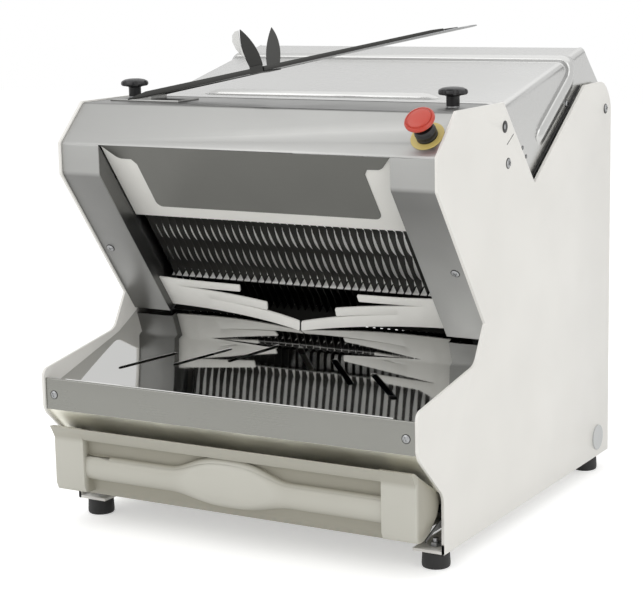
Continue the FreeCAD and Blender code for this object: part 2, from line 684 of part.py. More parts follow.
def guides():
    """Fixed rods beside the throat, and the bored blocks that ride on them."""
    front_d, rear_d = "18", "52"
    upper = {"front": "guide_s + 80", "rear": "guide_s + 110"}
    for name, d, x in (("front", front_d, "front_x"), ("rear", rear_d, "rear_x")):
        blocks = []
        for s in ("guide_s", upper[name]):
            body = block(f"{x} + upright_t", f"{d} - guide_w / 2", s,
                         f"rod_x + guide_w / 2 - {x} - upright_t", "guide_w", "guide_h")
            bore = rod("rod_r + run_fit", "guide_h", "rod_x", d, s)
            blocks.append(seat_in_throat(cut("guide_block", body, [bore])))
        both_sides(f"{name}_guide_blocks", blocks)
    rods, brackets = [], []
    tops = {"front": "guide_s + 132", "rear": "guide_s + 165"}
    for name, d in (("front", front_d), ("rear", rear_d)):
        rods.append(seat_in_throat(
            rod("rod_r", f"{tops[name]} + bar_w - 5", "rod_x", d, "5")))
        plate = block("rod_x - 10", f"{d} - guide_w / 2", tops[name], f"{INNER} - rod_x + 10",
                      "guide_w", "bar_w")
        hole = rod("rod_r", "bar_w", "rod_x", d, tops[name])
        brackets.append(seat_in_throat(cut("guide_bracket", plate, [hole])))
    low = block("rod_x - 10", "6", "5", f"{INNER} - rod_x + 10", f"{rear_d} + guide_w / 2 - 6",
                "bar_w")
    holes = [rod("rod_r", "bar_w", "rod_x", d, "5") for d in (front_d, rear_d)]
    brackets.append(seat_in_throat(cut("guide_bracket", low, holes)))
    both_sides("guide_rods", rods)
    both_sides("guide_brackets", brackets)


def comb(label, half, front_d, back_d, teeth, s, t, tooth_first):
    """A plate square to the blades, slotted for each of them."""
    body = slab(label, [
        (f"-{half}", front_d), (half, front_d), (half, back_d), (f"-{half}", back_d)],
        t, "XY_Plane", s)
    slot = sketch_in(body, "XY_Plane", s)
    left = f"-{BLADE_HALF_RUN} - tooth_slot / 2"
    right = f"-{BLADE_HALF_RUN} + tooth_slot / 2"
    low, high = (front_d, f"{front_d} + ({teeth})") if tooth_first else (
        f"{back_d} - ({teeth})", back_d)
    draw(slot, [(left, low), (right, low), (right, high), (left, high)])
    pocket = cut_in(body, slot, t, Reversed=True)
    row_of = body.newObject("PartDesign::LinearPattern", "Slots")
    row_of.Originals = [pocket]
    row_of.Direction = (slot, ["H_Axis"])
    bind(row_of, Length=f"2 * {BLADE_HALF_RUN}", Occurrences="blade_count")
    body.Tip = row_of
    return body


def rest_comb():
    """White comb that carries the slices from the hopper floor onto the table."""
    body = comb("bread_rest_comb", "hopper_half", "finger_d + finger_t + 1",
                "blade_d + blade_w + 0.6", "blade_w + 2.1", "-column_foot - 9.5", "3", False)
    keep(seat_in_throat(body), "bread_rest_comb")


# ---------------------------------------------------------------- loaf hopper
def hopper():
    floor = folded("hopper_floor", [
        ("floor_front_y", "floor_front_z"), ("floor_rear_y", "floor_rear_z"),
        ("back_top_y", "back_top_z")], "sheet_t", "2 * hopper_half")
    keep(seat(floor), "hopper_floor")
    low_front = throat_point("side_d", "-36")
    top_front = throat_point("side_d", "225")
    side = slab("hopper_side", [
        low_front, ("floor_rear_y", "floor_rear_z"), ("back_top_y", "back_top_z"),
        ("140", "back_top_z"), top_front], "sheet_t", offset="hopper_half")
    both_sides("hopper_sides", [seat(side)])


# ---------------------------------------------------------------- lid with pusher
def lid_line():
    """Side view of the lid's skin: a roll about the hinge, the top, and the rear fall."""
    centre = Vector(0, size("pivot_y"), size("pivot_z"))
    radius = size("lid_front_r")

    def on_roll(angle):
        return centre + Vector(0, math.cos(math.radians(angle)),
                               math.sin(math.radians(angle))) * radius

    crest = Vector(0, size("crest_y"), size("crest_z"))
    rear = Vector(0, size("lid_rear_y"), size("lid_rear_z"))
    end = size("roll_end")
    wire = Part.Wire([
        Part.Arc(on_roll(109), on_roll(80), on_roll(end)).toShape(),
        Part.LineSegment(on_roll(end), crest).toShape(),
        Part.LineSegment(crest, rear).toShape()])
    return shaped("lid_line", wire)


def lid():
    skin = thickened("lid_skin", lid_line(), "sheet_t", "2 * lid_half")
    tip, kink = ("lid_tip_y", "lid_tip_z"), ("lid_kink_y", "lid_kink_z")
    rise, run = "(lid_kink_z - lid_tip_z)", "(lid_kink_y - lid_tip_y)"
    edge = f"sqrt({run} * {run} + {rise} * {rise})"
    outline = [
        ("pivot_y - 12", "pivot_z - 16"), ("pivot_y - 12", "pivot_z + 28"),
        ("pivot_y + 21", "pivot_z + 24"), ("crest_y", "crest_z - 1"),
        ("lid_rear_y - 1", "lid_rear_z + 1"), ("lid_rear_y - 4", "lid_rear_z - 6"),
        ("lid_kink_y + 12", "lid_kink_z + 5"), kink, tip]
    across = f"seal_w * {rise} / {edge}", f"seal_w * {run} / {edge}"
    below = [(f"{y} + {across[0]}", f"{z} - {across[1]}") for y, z in (kink, tip)]
    walls, seals, beads = [], [], []
    for side in (1, -1):
        start = "lid_half - sheet_t" if side > 0 else "-lid_half"
        walls.append(slab("lid_wall", outline, "sheet_t", offset=start))
        seals.append(seat(slab("lid_seal", [tip, kink] + below, "sheet_t", offset=start)))
        bead = rod("bead_r", f"{edge} * 0.76")
        tilt = math.degrees(math.atan2(size(rise), size(run)))
        bead.Placement = Placement(Vector(), Rotation(Vector(1, 0, 0), tilt - 90))
        for axis, text in zip("xyz", (f"{side} * (lid_half - sheet_t)", "lid_tip_y + 12", "lid_tip_z + 59.5")):
            bead.setExpression(f".Placement.Base.{axis}", bound(text))
        beads.append(bead)
    keep(group("lid_seals", seals), "lid_seals")
    beads.append(rod("bead_r", "390", "-214", "316", "crest_z - 61", along="x"))
    beads.append(rod("bead_r", "2 * lid_half - 6", "3 - lid_half", "517", "crest_z - 16.5", along="x"))
    whole = fuse("lid_whole", [skin] + walls + beads)
    bore = rod("hinge_r + run_fit", "2 * half_width", "-half_width", "pivot_y", "pivot_z",
               along="x")
    keep(seat(cut("lid_cover", whole, [bore])), "lid_cover")
    pins = rod("hinge_r", "half_width - lid_half + 8", "lid_half - 8", "pivot_y", "pivot_z",
               along="x")
    both_sides("hinge_pins", [seat(pins)])
    both_sides("lid_screws", [
        seat(rod(radius, "reveal", "lid_half", y, z, along="x"))
        for radius, y, z in (("bolt_r", "lid_kink_y - 65.1", "lid_kink_z + 1.4"), ("2.5", "pivot_y + 58.6", "pivot_z - 35"),
                             ("2.5", "pivot_y + 71.7", "pivot_z - 48.1"))])


def pusher():
    """Plate behind the blades with a comb of teeth through them, on two arms."""
    plate = slab("pusher_face", [
        ("-pusher_half", "pusher_low"), ("pusher_half", "pusher_low"),
        ("pusher_half", "pusher_high"), ("-pusher_half", "pusher_high")],
        "sheet_t", "XZ_Plane", "-pusher_d - sheet_t")
    teeth = comb("pusher_teeth", "pusher_half", "pusher_d - tooth_d", "pusher_d + sheet_t",
                 "tooth_d - 1", "pusher_low", "sheet_t", True)
    keep(seat_in_throat(fuse("pusher_plate", [plate, teeth])), "pusher_plate")
    low, high = (throat_point("pusher_d + sheet_t", s) for s in
                 ("pusher_low + 8", "pusher_high - 8"))
    slope = ("((crest_z - pivot_z - lid_front_r * sin(roll_end * 1deg))"
             " / (crest_y - pivot_y - lid_front_r * cos(roll_end * 1deg)))")
    under = "crest_z - (crest_y - {0}) * " + slope + " - sheet_t - fit_gap / 2"
    near, far = "(pivot_y + 63.8)", "(pivot_y + 127.8)"
    arm = slab("pusher_arm", [
        low, high, (near, under.format(near)), (far, under.format(far)),
        ("pivot_y + 17.8", "pivot_z - 101.7")], "arm_t", offset="arm_x")
    both_sides("pusher_arms", [seat(arm)])


# ---------------------------------------------------------------- drive
def drive():
    shaft = rod("shaft_r", "2 * (rear_rod_x + rod_t + 4)", "-rear_rod_x - rod_t - 4",
                "crank_y", "crank_z", along="x")
    keep(seat(shaft), "crank_shaft")
    sheaves, straps = [], {}
    for name, x, side in (("front", "front_rod_x", 1), ("rear", "rear_rod_x", -1)):
        y, z = eccentric(side)
        disc = cut("sheave", rod("sheave_r", "rod_t", x, y, z, along="x"),
                   [rod("shaft_r", "rod_t", x, "crank_y", "crank_z", along="x")])
        sheaves.append(seat(disc))
        pin_y, pin_z = throat_point(f"{name}_pin_d", "pin_s")
        straps[name] = connecting_rod(x, (y, z), (pin_y, pin_z))
    both_sides("eccentric_sheaves", sheaves)
    for name, strap in straps.items():
        both_sides(f"{name}_connecting_rods", [seat(strap)])
    pulley = cut("crank_pulley", rod("pulley_r", "pulley_w", "pulley_x", "crank_y", "crank_z",
                                     along="x"),
                 [rod("shaft_r", "pulley_w", "pulley_x", "crank_y", "crank_z", along="x")])
    keep(seat(pulley), "crank_pulley")
    foot = f"({FLANGE_TOP} + reveal)"
    pedestal = cut("bearing_pedestal", fuse("pedestal", [
        block("210", "crank_y - 22", foot, "22", "44", f"crank_z - {foot}"),
        rod("22", "22", "210", "crank_y", "crank_z", along="x"),
        block("210", "crank_y - 45", foot, "22", "90", "10")]),
        [rod("shaft_r + run_fit", "30", "206", "crank_y", "crank_z", along="x")])
    both_sides("bearing_pedestals", [seat(pedestal)])


def eccentric(side):
    """Side-view centre of a sheave, square to the connecting rods."""
    return (f"crank_y + {side} * throw * sin(45deg)", f"crank_z + {side} * throw * cos(45deg)")


def connecting_rod(x, big, small):
    """A rod in the plane x: strap round the sheave, shank, and a closed small end."""
    big_y, big_z = (size(text) for text in big)
    small_y, small_z = (size(text) for text in small)
    span = math.hypot(small_y - big_y, small_z - big_z)
    turn = math.degrees(math.atan2(small_z - big_z, small_y - big_y))
    inner, outer = size("sheave_r + run_fit"), size("sheave_r + run_fit + strap_wall")
    t, eye = size("rod_t"), size("eye_r")
    across = Vector(1, 0, 0)
    body = Part.makeCylinder(outer, t, Vector(), across)
    body = body.fuse(Part.makeBox(t, span, eye * 1.1, Vector(0, 0, -eye * 0.55)))
    body = body.fuse(Part.makeCylinder(eye, t, Vector(0, span, 0), across))
    body = body.cut(Part.makeCylinder(inner, t, Vector(), across)).removeSplitter()
    body = body.Solids[0]
    body.Placement = Placement(Vector(size(x), big_y, big_z),
                               Rotation(Vector(1, 0, 0), turn))
    return group("rod_place", [shaped("rod", body)])


def motor():
    """Motor on its cradle, its shaft and pulley, and the belt round both pulleys."""
    axis = ("motor_y", "motor_z")
    start = "pulley_x + pulley_w + 12"
    can = cut("motor", fuse("motor_can", [
        rod("motor_r", "motor_l", start, *axis, along="x"),
        rod("motor_r - 8", "motor_l + 24", start, *axis, along="x"),
        block(f"{start} + 60", "motor_y - 30", "motor_z + motor_r - 8", "80", "60", "30")]),
        [rod("motor_shaft_r + run_fit", "motor_l / 2", start, *axis, along="x")])
    keep(seat(can), "motor")
    foot = f"({FLANGE_TOP} + reveal)"
    saddle = fuse("saddles", [
        block(f"{start} + {x}", "motor_y - 50", foot, "20", "100", f"motor_z - {foot} - 20")
        for x in (25, 165)])
    cradle = cut("motor_cradle", saddle,
                 [rod("motor_r", "motor_l", start, *axis, along="x")])
    keep(seat(cradle), "motor_cradle")
    shaft = rod("motor_shaft_r", "pulley_w + 12 + motor_l / 2 - 4", "pulley_x", *axis, along="x")
    keep(seat(shaft), "motor_shaft")
    pulley = cut("motor_pulley", rod("motor_pulley_r", "pulley_w", "pulley_x", *axis, along="x"),
                 [rod("motor_shaft_r", "pulley_w", "pulley_x", *axis, along="x")])
    keep(seat(pulley), "motor_pulley")
    keep(seat(shaped("drive_belt", belt_shape())), "drive_belt")


def belt_shape():
    """A flat belt: the band between two taut outlines round the pulleys."""
    clear = size("fit_gap")
    outer = taut_face(size("pulley_r") + clear + size("belt_t"),
                      size("motor_pulley_r") + clear + size("belt_t"))
    inner = taut_face(size("pulley_r") + clear, size("motor_pulley_r") + clear)
    band = outer.cut(inner).extrude(Vector(size("pulley_w") - 4, 0, 0))
    return band.Solids[0]


def taut_face(big, small):
    """The face inside a loop of two arcs and their outer tangents."""
    start = size("pulley_x + 2")
    first = Vector(start, size("crank_y"), size("crank_z"))
    second = Vector(start, size("motor_y"), size("motor_z"))
    line = second - first
    along = math.atan2(line.z, line.y)
    wrap = math.acos((big - small) / line.Length)

    def on(centre, radius, angle):
        return centre + Vector(0, math.cos(angle), math.sin(angle)) * radius

    upper, lower = along + wrap, along - wrap
    return Part.Face(Part.Wire([
        Part.LineSegment(on(first, big, upper), on(second, small, upper)).toShape(),
        Part.Arc(on(second, small, upper), on(second, small, along),
                 on(second, small, lower)).toShape(),
        Part.LineSegment(on(second, small, lower), on(first, big, lower)).toShape(),
        Part.Arc(on(first, big, lower), on(first, big, along + math.pi),
                 on(first, big, upper)).toShape()]))


# ---------------------------------------------------------------- crumb drawer
def drawer():
    """Moulded tray: recessed front with a handle band, end blocks, rim and lower tray."""
    lip, low, floor = "drawer_lip_z", "drawer_low_z", "tray_low_z"
    rear, wall = "drawer_rear_y", "drawer_wall"
    body = doc.addObject("PartDesign::Body", "crumb_drawer")
    front = sketch_in(body, "YZ_Plane")
    draw(front, [
        ("0", lip), ("11", f"{lip} - 18"), ("22", f"{lip} - 20"), ("22", "112"),
        ("18", "108"), ("18", "84"), ("26", "80"), ("32", f"{low} + 8"), ("44", floor),
        (rear, floor), (rear, "rim_top_z"), ("54", "rim_top_z")])
    pad(body, front, "2 * drawer_half", Midplane=True)
    for side in (1, -1):
        end = sketch_in(body, "YZ_Plane", f"{side} * drawer_half")
        draw(end, [
            ("6", f"{lip} - 9"), ("10", f"{lip} - 18"), ("10", f"{low} + 10"),
            ("20", low), ("44", low), ("44", "108")])
        pad(body, end, "50", Reversed=side > 0)
        under = sketch_in(body, "YZ_Plane", f"{side} * drawer_half")
        draw(under, [
            ("5", "0"), (f"{rear} + 1", "0"), (f"{rear} + 1", "rim_low_z"),
            ("87", "rim_low_z"), ("42", f"{low} + 8"), ("20", low), ("5", low)])
        cut_in(body, under, "drawer_half - tray_half", Reversed=side < 0)
    grip = sketch_in(body, "YZ_Plane")
    draw(grip, [("18", "90"), ("24", "64"), ("32", "60"), ("36", "66"), ("30", "90")])
    pad(body, grip, "150", Midplane=True)
    hollow = sketch_in(body, "YZ_Plane")
    draw(hollow, [
        (f"{wall} + 1.5", f"{lip} + 1"), (f"11 + {wall}", f"{lip} - 15"),
        (f"22 + {wall}", f"{lip} - 17"), (f"22 + {wall}", "78"), (f"32 + {wall}", f"{low} + 10"),
        (f"44 + {wall}", f"{floor} + {wall}"), (f"{rear} - {wall}", f"{floor} + {wall}"),
        (f"{rear} - {wall}", f"{lip} + 1")])
    cut_in(body, hollow, f"2 * (tray_half - {wall})", Midplane=True)
    keep(seat(body), "crumb_drawer")
    outer = f"{INNER}"
    runner = fuse("drawer_runner", [
        slab("runner_wall", [
            ("runner_front_y + 22", "rim_low_z - 17"), ("drawer_rear_y", "rim_low_z - 17"),
            ("drawer_rear_y", "rim_low_z - fit_gap"), ("87", "rim_low_z - fit_gap"),
            ("runner_front_y", "drawer_low_z + 4"), ("runner_front_y", "drawer_low_z")],
            "runner_t", offset=f"{outer} - runner_t"),
        block(f"{outer} - runner_shelf", "90", "rim_low_z - fit_gap - runner_t",
              "runner_shelf", "drawer_rear_y - 90", "runner_t")])
    both_sides("drawer_runners", [seat(runner)])


# ---------------------------------------------------------------- stop, knobs, tray
def on_slope(piece, out):
    """Stands a piece on the hood's slope at the stop, its axis square to the sheet."""
    y, z = slope_point(out)
    return seat(piece, y, z, str(slope_tilt()), x="stop_x")


def emergency_stop():
    disc = cut("stop_disc", rod("stop_disc_r", "1"), [rod("stop_collar_r - 3 + fit_gap", "1")])
    keep(on_slope(disc, "run_fit"), "stop_disc")
    collar = cut("stop_collar", fuse("collar", [
        rod("stop_collar_r", "stop_collar_h"), rod("stop_collar_r - 3", "16", z="-15"),
        block("-15", "-15", "-45", "30", "30", "30")]),
        [rod("8", "stop_collar_h + 12", z="-10")])
    keep(on_slope(collar, "1 + 2 * run_fit"), "stop_collar")
    keep(on_slope(rod("7.5", "stop_collar_h + stop_gap + 0.7", z="-2"), "1"), "stop_plunger")
    head = doc.addObject("PartDesign::Body", "stop_button")
    profile = sketch_in(head, "XZ_Plane")
    top = "stop_head_h"
    draw(profile, [("0", "0"), ("stop_head_r - 6", "0"), ("stop_head_r", f"{top} * 0.45"),
                   ("stop_head_r", f"{top} * 0.7"), ("stop_head_r - 4", f"{top}"),
                   ("0", f"{top}")])
    turned = head.newObject("PartDesign::Revolution", "Turned")
    turned.Profile = profile
    turned.ReferenceAxis = (profile, ["V_Axis"])
    turned.Angle = 360
    doc.recompute()
    keep(on_slope(head, "stop_collar_h + stop_gap"), "stop_button")


def knob_shape():
    """A star head with round hollows between its lobes, on a round stem."""
    head_r, stem_r = size("knob_r"), size("knob_stem_r")
    stem_h, head_h = size("knob_stem_h"), size("knob_head_h")
    lobes = int(size("knob_lobes"))
    head = Part.makeCylinder(head_r, head_h, Vector(0, 0, stem_h))
    for number in range(lobes):
        angle = 2 * math.pi * number / lobes
        middle = Vector(math.cos(angle), math.sin(angle), 0) * (head_r + 3)
        head = head.cut(Part.makeCylinder(6, head_h, middle + Vector(0, 0, stem_h)))
    body = head.fuse(Part.makeCylinder(stem_r, stem_h)).removeSplitter()
    body = body.cut(Part.makeCylinder(size("bolt_r + run_fit"), stem_h + head_h - 3))
    return body.Solids[0]


def star_knobs():
    """Clamping knobs on fixed studs; the left one also holds the bagging tray's foot."""
    studs, washers = [], []
    for name, side, lift in (("right", 1, "0"), ("left", -1, "foot_plate_t")):
        x = f"{side} * knob_x"
        base = f"{HOOD_TOP} + {lift}"
        stud = fuse("knob_stud", [
            rod("bolt_r", "30", z="-10"), rod("bolt_head_r", "8", z="-sheet_t - 8")])
        studs.append(seat(stud, "knob_y", HOOD_TOP, x=x))
        washer = cut("washer", rod("knob_stem_r", "washer_t"),
                     [rod("bolt_r + run_fit", "washer_t")])
        washers.append(seat(washer, "knob_y", base, x=x))
        knob = shaped(f"star_knob_{name}", knob_shape())
        keep(seat(knob, "knob_y", f"{base} + washer_t", x=x), f"star_knob_{name}")
    keep(group("knob_studs", studs), "knob_studs")
    keep(group("knob_washers", washers), "knob_washers")


def bagging_tray():
    """A shallow channel that rises to the right from a foot clamped by the left knob."""
    flange = "tray_flange"
    channel = fuse("tray_channel", [
        shaped("tray_floor", tongue_shape()),
        block("0", "0", "0", "tray_l", "tray_t", flange),
        block("0", "tray_w - tray_t", "0", "tray_l", "tray_t", flange)])
    top = f"({HOOD_TOP} + foot_plate_t - tray_sink)"
    channel.Placement = Placement(Vector(), Rotation(Vector(0, 1, 0), -size("tray_tilt")))
    for axis, text in zip("xyz", ("tray_x", "tray_y", top)):
        channel.setExpression(f".Placement.Base.{axis}", bound(text))
    t = "foot_plate_t"
    plate = cut("tray_foot_plate", block(
        "-knob_x - 18", "tray_y", HOOD_TOP, "knob_x - 175 + 18",
        "knob_y - tray_y + 16", t), [rod("bolt_r + run_fit", t, "-knob_x", "knob_y", HOOD_TOP)])
    under = f"{top} + tray_t / 2 + ({{0}} - tray_x) * tan(tray_tilt * 1deg)"
    gussets = [slab("tray_gusset", [
        ("tray_x + 5", top), ("-175", top), ("-175", under.format("-175")),
        ("tray_x + 5", under.format("tray_x + 5"))],
        "tray_t", "XZ_Plane", f"-({y})") for y in ("tray_y + tray_t", "tray_y + tray_w")]
    keep(seat(fuse("bagging_tray", [channel, plate] + gussets)), "bagging_tray")


def tongue_shape():
    """The tray's flat floor with its round end."""
    length, width = size("tray_l + tongue_l - tray_w / 2"), size("tray_w")
    corners = [Vector(length, width, 0), Vector(0, width, 0), Vector(), Vector(length, 0, 0)]
    edges = [Part.LineSegment(a, b).toShape() for a, b in zip(corners, corners[1:])]
    edges.append(Part.Arc(corners[3], Vector(length + width / 2, width / 2, 0),
                          corners[0]).toShape())
    return Part.Face(Part.Wire(edges)).extrude(Vector(0, 0, size("tray_t")))


def bag_holder():
    """A saddle that slides on the tray, with two flared leaf-shaped ears."""
    gap, t = size("fit_gap"), size("tray_t")
    width, length = size("tray_w"), size("holder_w")
    wall = size("tray_flange") + 2
    low = -gap - t
    parts = [
        Part.makeBox(length, width + 2 * (gap + t), t, Vector(0, -gap - t, low)),
        Part.makeBox(length, t, wall - low, Vector(0, -gap - t, low)),
        Part.makeBox(length, t, wall - low, Vector(0, width + gap, low))]
    for side in (-1, 1):
        ear = leaf_shape(length, size("ear_h"), t)
        edge = -gap if side < 0 else width + gap
        ear.Placement = Placement(
            Vector(0, edge, wall - 1), Rotation(Vector(1, 0, 0), -side * size("ear_flare")))
        parts.append(ear)
    body = parts[0].fuse(parts[1:]).removeSplitter()
    piece = shaped("bag_holder", body.Solids[0])
    tilt = math.radians(size("tray_tilt"))
    at = size("holder_at")
    piece.Placement = Placement(
        Vector(size("tray_x") + at * math.cos(tilt), size(f"tray_y - {HALF_DEPTH}"),
               size(f"{HOOD_TOP} + foot_plate_t - tray_sink") + at * math.sin(tilt)),
        Rotation(Vector(0, 1, 0), -size("tray_tilt")))
    keep(piece, "bag_holder")


def leaf_shape(width, height, t):
    """A pointed leaf in the x-z plane, centred on its own thickness."""
    left, right, tip = Vector(0, 0, 0), Vector(width, 0, 0), Vector(width * 0.35, 0, height)
    face = Part.Face(Part.Wire([
        Part.LineSegment(left, right).toShape(),
        Part.Arc(right, Vector(width * 0.93, 0, height * 0.55), tip).toShape(),
        Part.Arc(tip, Vector(-width * 0.04, 0, height * 0.5), left).toShape()]))
    leaf = face.extrude(Vector(0, t, 0))
    leaf.translate(Vector(0, -t / 2, 0))
    return leaf


# ---------------------------------------------------------------- build
def build():
    side_panels()
    front_hood()
    deflector_and_guard()
    finger_guides()
    table()
    feet()
    casing_details()
    pan_and_rails()
    blades()
    front_frame()
    rear_frame()
    guides()
    rest_comb()
    hopper()
    lid()
    pusher()
    drive()
    motor()
    drawer()
    emergency_stop()
    star_knobs()
    bagging_tray()
    bag_holder()
    doc.recompute()


def check():
    for item in doc.Objects:
        assert not {"Invalid", "Error"} & set(item.State), (item.Label, item.State)
    for node in NODES:
        assert not node.Shape.isNull() and node.Shape.isValid(), node.Label
        assert node.Shape.Solids, node.Label


def write():
    os.makedirs("parts", exist_ok=True)
    for node in NODES:
        node.Shape.exportStep(f"parts/{node.Label}.step")


build()
check()
write()
print(len(NODES), "nodes")
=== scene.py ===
import json
import math

import bmesh
import bpy
from mathutils import Matrix, Vector


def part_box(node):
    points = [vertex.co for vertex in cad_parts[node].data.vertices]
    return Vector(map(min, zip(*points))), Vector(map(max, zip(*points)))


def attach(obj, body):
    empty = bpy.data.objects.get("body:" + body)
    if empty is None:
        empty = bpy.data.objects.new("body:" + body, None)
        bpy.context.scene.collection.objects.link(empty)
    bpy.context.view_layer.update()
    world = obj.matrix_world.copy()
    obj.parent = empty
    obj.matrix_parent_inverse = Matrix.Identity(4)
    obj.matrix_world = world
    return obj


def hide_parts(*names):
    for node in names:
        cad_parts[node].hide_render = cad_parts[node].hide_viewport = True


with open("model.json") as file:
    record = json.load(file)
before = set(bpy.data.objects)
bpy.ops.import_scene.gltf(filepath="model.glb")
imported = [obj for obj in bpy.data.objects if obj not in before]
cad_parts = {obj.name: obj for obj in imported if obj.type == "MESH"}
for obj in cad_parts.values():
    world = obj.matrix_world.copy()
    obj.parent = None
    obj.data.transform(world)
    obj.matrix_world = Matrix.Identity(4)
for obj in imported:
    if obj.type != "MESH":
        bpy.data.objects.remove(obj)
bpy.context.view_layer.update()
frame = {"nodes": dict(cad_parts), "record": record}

bl_info = {
    "name": "Bread slicer",
    "version": (1, 0, 0),
    "blender": (4, 5, 0),
    "location": "View3D > Sidebar > Slicer",
    "description": "Models a bench-top bread slicer round its packed CAD frame",
    "category": "Object",
}

MM = 0.001
RIGHT, BACK, UP = Vector((1, 0, 0)), Vector((0, 1, 0)), Vector((0, 0, 1))

# Sizes in millimetres; y runs back from the fascia and z up from the bench.
PANEL_REAR = 663
PANEL_INNER, PANEL_OUTER = 296, 300
THROAT_HALF = 231
SHEET = 1.5
HINGE_Y, HINGE_Z = 268.2, 571.7
FOOT_X, FEET_Y = 276.6, (95.4, 622.5)
SLOPE_LOW, SLOPE_HIGH = (63.93, 550), (119, 603)
STOP_X, STOP_Y, STOP_Z = 272.5, 89.5, 574.61
HALF_DEPTH = PANEL_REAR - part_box("side_panel_right")[1].y / MM
LEAN = math.radians(36)
SEAT = (203 + 2 * math.cos(LEAN), 312 + 2 * math.sin(LEAN))
TILT = math.atan2(SLOPE_HIGH[1] - SLOPE_LOW[1], SLOPE_HIGH[0] - SLOPE_LOW[0])
SLOPE_NORMAL = Vector((0, -math.sin(TILT), math.cos(TILT)))


# ---------------------------------------------------------------- places
def at(x, y, z):
    """A point from millimetres: across, back from the fascia, up from the bench."""
    return Vector((x, y - HALF_DEPTH, z)) * MM


def in_throat(x, d, s):
    """A point of the leaning throat: d back into the machine, s up along the blades."""
    return at(x, SEAT[0] + d * math.cos(LEAN) - s * math.sin(LEAN),
              SEAT[1] + d * math.sin(LEAN) + s * math.cos(LEAN))


def profile(x, spots):
    """The points of one (y, z) outline at a place across."""
    return [at(x, y, z) for y, z in spots]


THROAT_BACK = (in_throat(0, 1, 0) - in_throat(0, 0, 0)) / MM
THROAT_UP = (in_throat(0, 0, 1) - in_throat(0, 0, 0)) / MM


# ---------------------------------------------------------------- modelling by hand
def to_object_mode():
    if bpy.context.object and bpy.context.object.mode != "OBJECT":
        bpy.ops.object.mode_set(mode="OBJECT")


def only(*pieces):
    """Selects these pieces and nothing else; the first is the active one."""
    to_object_mode()
    bpy.ops.object.select_all(action="DESELECT")
    for piece in pieces:
        piece.select_set(True)
    bpy.context.view_layer.objects.active = pieces[0]


def select_all():
    """In edit mode, selects every vertex."""
    bpy.ops.mesh.select_mode(type="VERT")
    bpy.ops.mesh.select_all(action="SELECT")


def edit(piece):
    only(piece)
    bpy.ops.object.mode_set(mode="EDIT")
    select_all()


def turn_outwards():
    """In edit mode, points every face outwards."""
    select_all()
    bpy.ops.mesh.normals_make_consistent(inside=False)


def new_piece(name, add_primitive, **settings):
    to_object_mode()
    bpy.ops.object.select_all(action="DESELECT")
    add_primitive(**settings)
    piece = bpy.context.object
    piece.name = piece.data.name = name
    return piece


def pull(vector):
    """Extrudes what is selected by a vector."""
    bpy.ops.mesh.extrude_region_move(TRANSFORM_OT_translate={"value": vector})


def draw_line(name, corners):
    """A chain of edges drawn corner by corner from one vertex; it is left in edit mode."""
    piece = new_piece(name, bpy.ops.mesh.primitive_plane_add, size=MM)
    edit(piece)
    bpy.ops.mesh.merge(type="CENTER")
    bpy.ops.transform.translate(value=corners[0])
    for here, there in zip(corners, corners[1:]):
        pull(there - here)
    select_all()
    return piece


def pick_edges(piece, test):
    """In edit mode, selects the edges whose two ends pass the test."""
    bpy.ops.mesh.select_all(action="DESELECT")
    bpy.ops.mesh.select_mode(type="EDGE")
    mesh = bmesh.from_edit_mesh(piece.data)
    for edge in mesh.edges:
        edge.select_set(test(edge.verts[0].co, edge.verts[1].co))
    mesh.select_flush_mode()
    bmesh.update_edit_mesh(piece.data)


def round_edges(piece, spots, along, radius, segments=5):
    """Bevels the edges that run along a vector through the given spots."""
    along = along.normalized()

    def wanted(a, b):
        if (b - a).cross(along).length > 1e-5 or (b - a).length < 1e-4:
            return False
        return any((a - spot).cross(along).length < 1e-4 for spot in spots)

    pick_edges(piece, wanted)
    bpy.ops.mesh.bevel(offset=radius * MM, segments=segments, affect="EDGES")
    select_all()


def plate(name, corners, depth, rounds=()):
    """A flat outline filled and pulled to its thickness, with some corners rounded."""
    piece = draw_line(name, corners)
    bpy.ops.mesh.edge_face_add()
    select_all()
    pull(depth)
    turn_outwards()
    for spots, radius in rounds:
        round_edges(piece, spots, depth, radius)
    to_object_mode()
    return piece


def folded(name, corners, bends, outward, across=RIGHT * 2 * PANEL_INNER * MM,
           thickness=SHEET):
    """A sheet folded along a vector, each bend a corner's number and its radius.
    Its outer face looks along outward at its start."""
    piece = draw_line(name, corners)
    pull(across)
    turn_outwards()
    for number, radius in bends:
        round_edges(piece, [corners[number]], across, radius)
    to_object_mode()
    start = min(piece.data.polygons, key=lambda face: (
        (face.center - corners[0]).cross(across.normalized()).length))
    if start.normal.dot(outward) < 0:
        piece.data.flip_normals()
    return apply(piece, "SOLIDIFY", thickness=thickness * MM, offset=-1)


def loft(name, rings):
    """A surface pulled from ring to ring, each an open chain with the same count."""
    piece = draw_line(name, rings[0])
    bpy.ops.mesh.select_mode(type="EDGE")
    count = len(rings[0])
    for ring in rings[1:]:
        mesh = bmesh.from_edit_mesh(piece.data)
        mesh.verts.ensure_lookup_table()
        last = set(mesh.verts[-count:])
        for edge in mesh.edges:
            edge.select_set(last.issuperset(edge.verts))
        mesh.select_flush_mode()
        bmesh.update_edit_mesh(piece.data)
        pull(Vector())
        mesh = bmesh.from_edit_mesh(piece.data)
        mesh.verts.ensure_lookup_table()
        for vertex, spot in zip(mesh.verts[-count:], ring):
            vertex.co = spot
        bmesh.update_edit_mesh(piece.data)
    turn_outwards()
    to_object_mode()
    return piece


def facing(piece, spot, direction):
    """Turns an open surface so that its face nearest to a spot looks along a direction."""
    nearest = min(piece.data.polygons, key=lambda face: (face.center - spot).length)
    if nearest.normal.dot(direction) < 0:
        piece.data.flip_normals()
    return piece


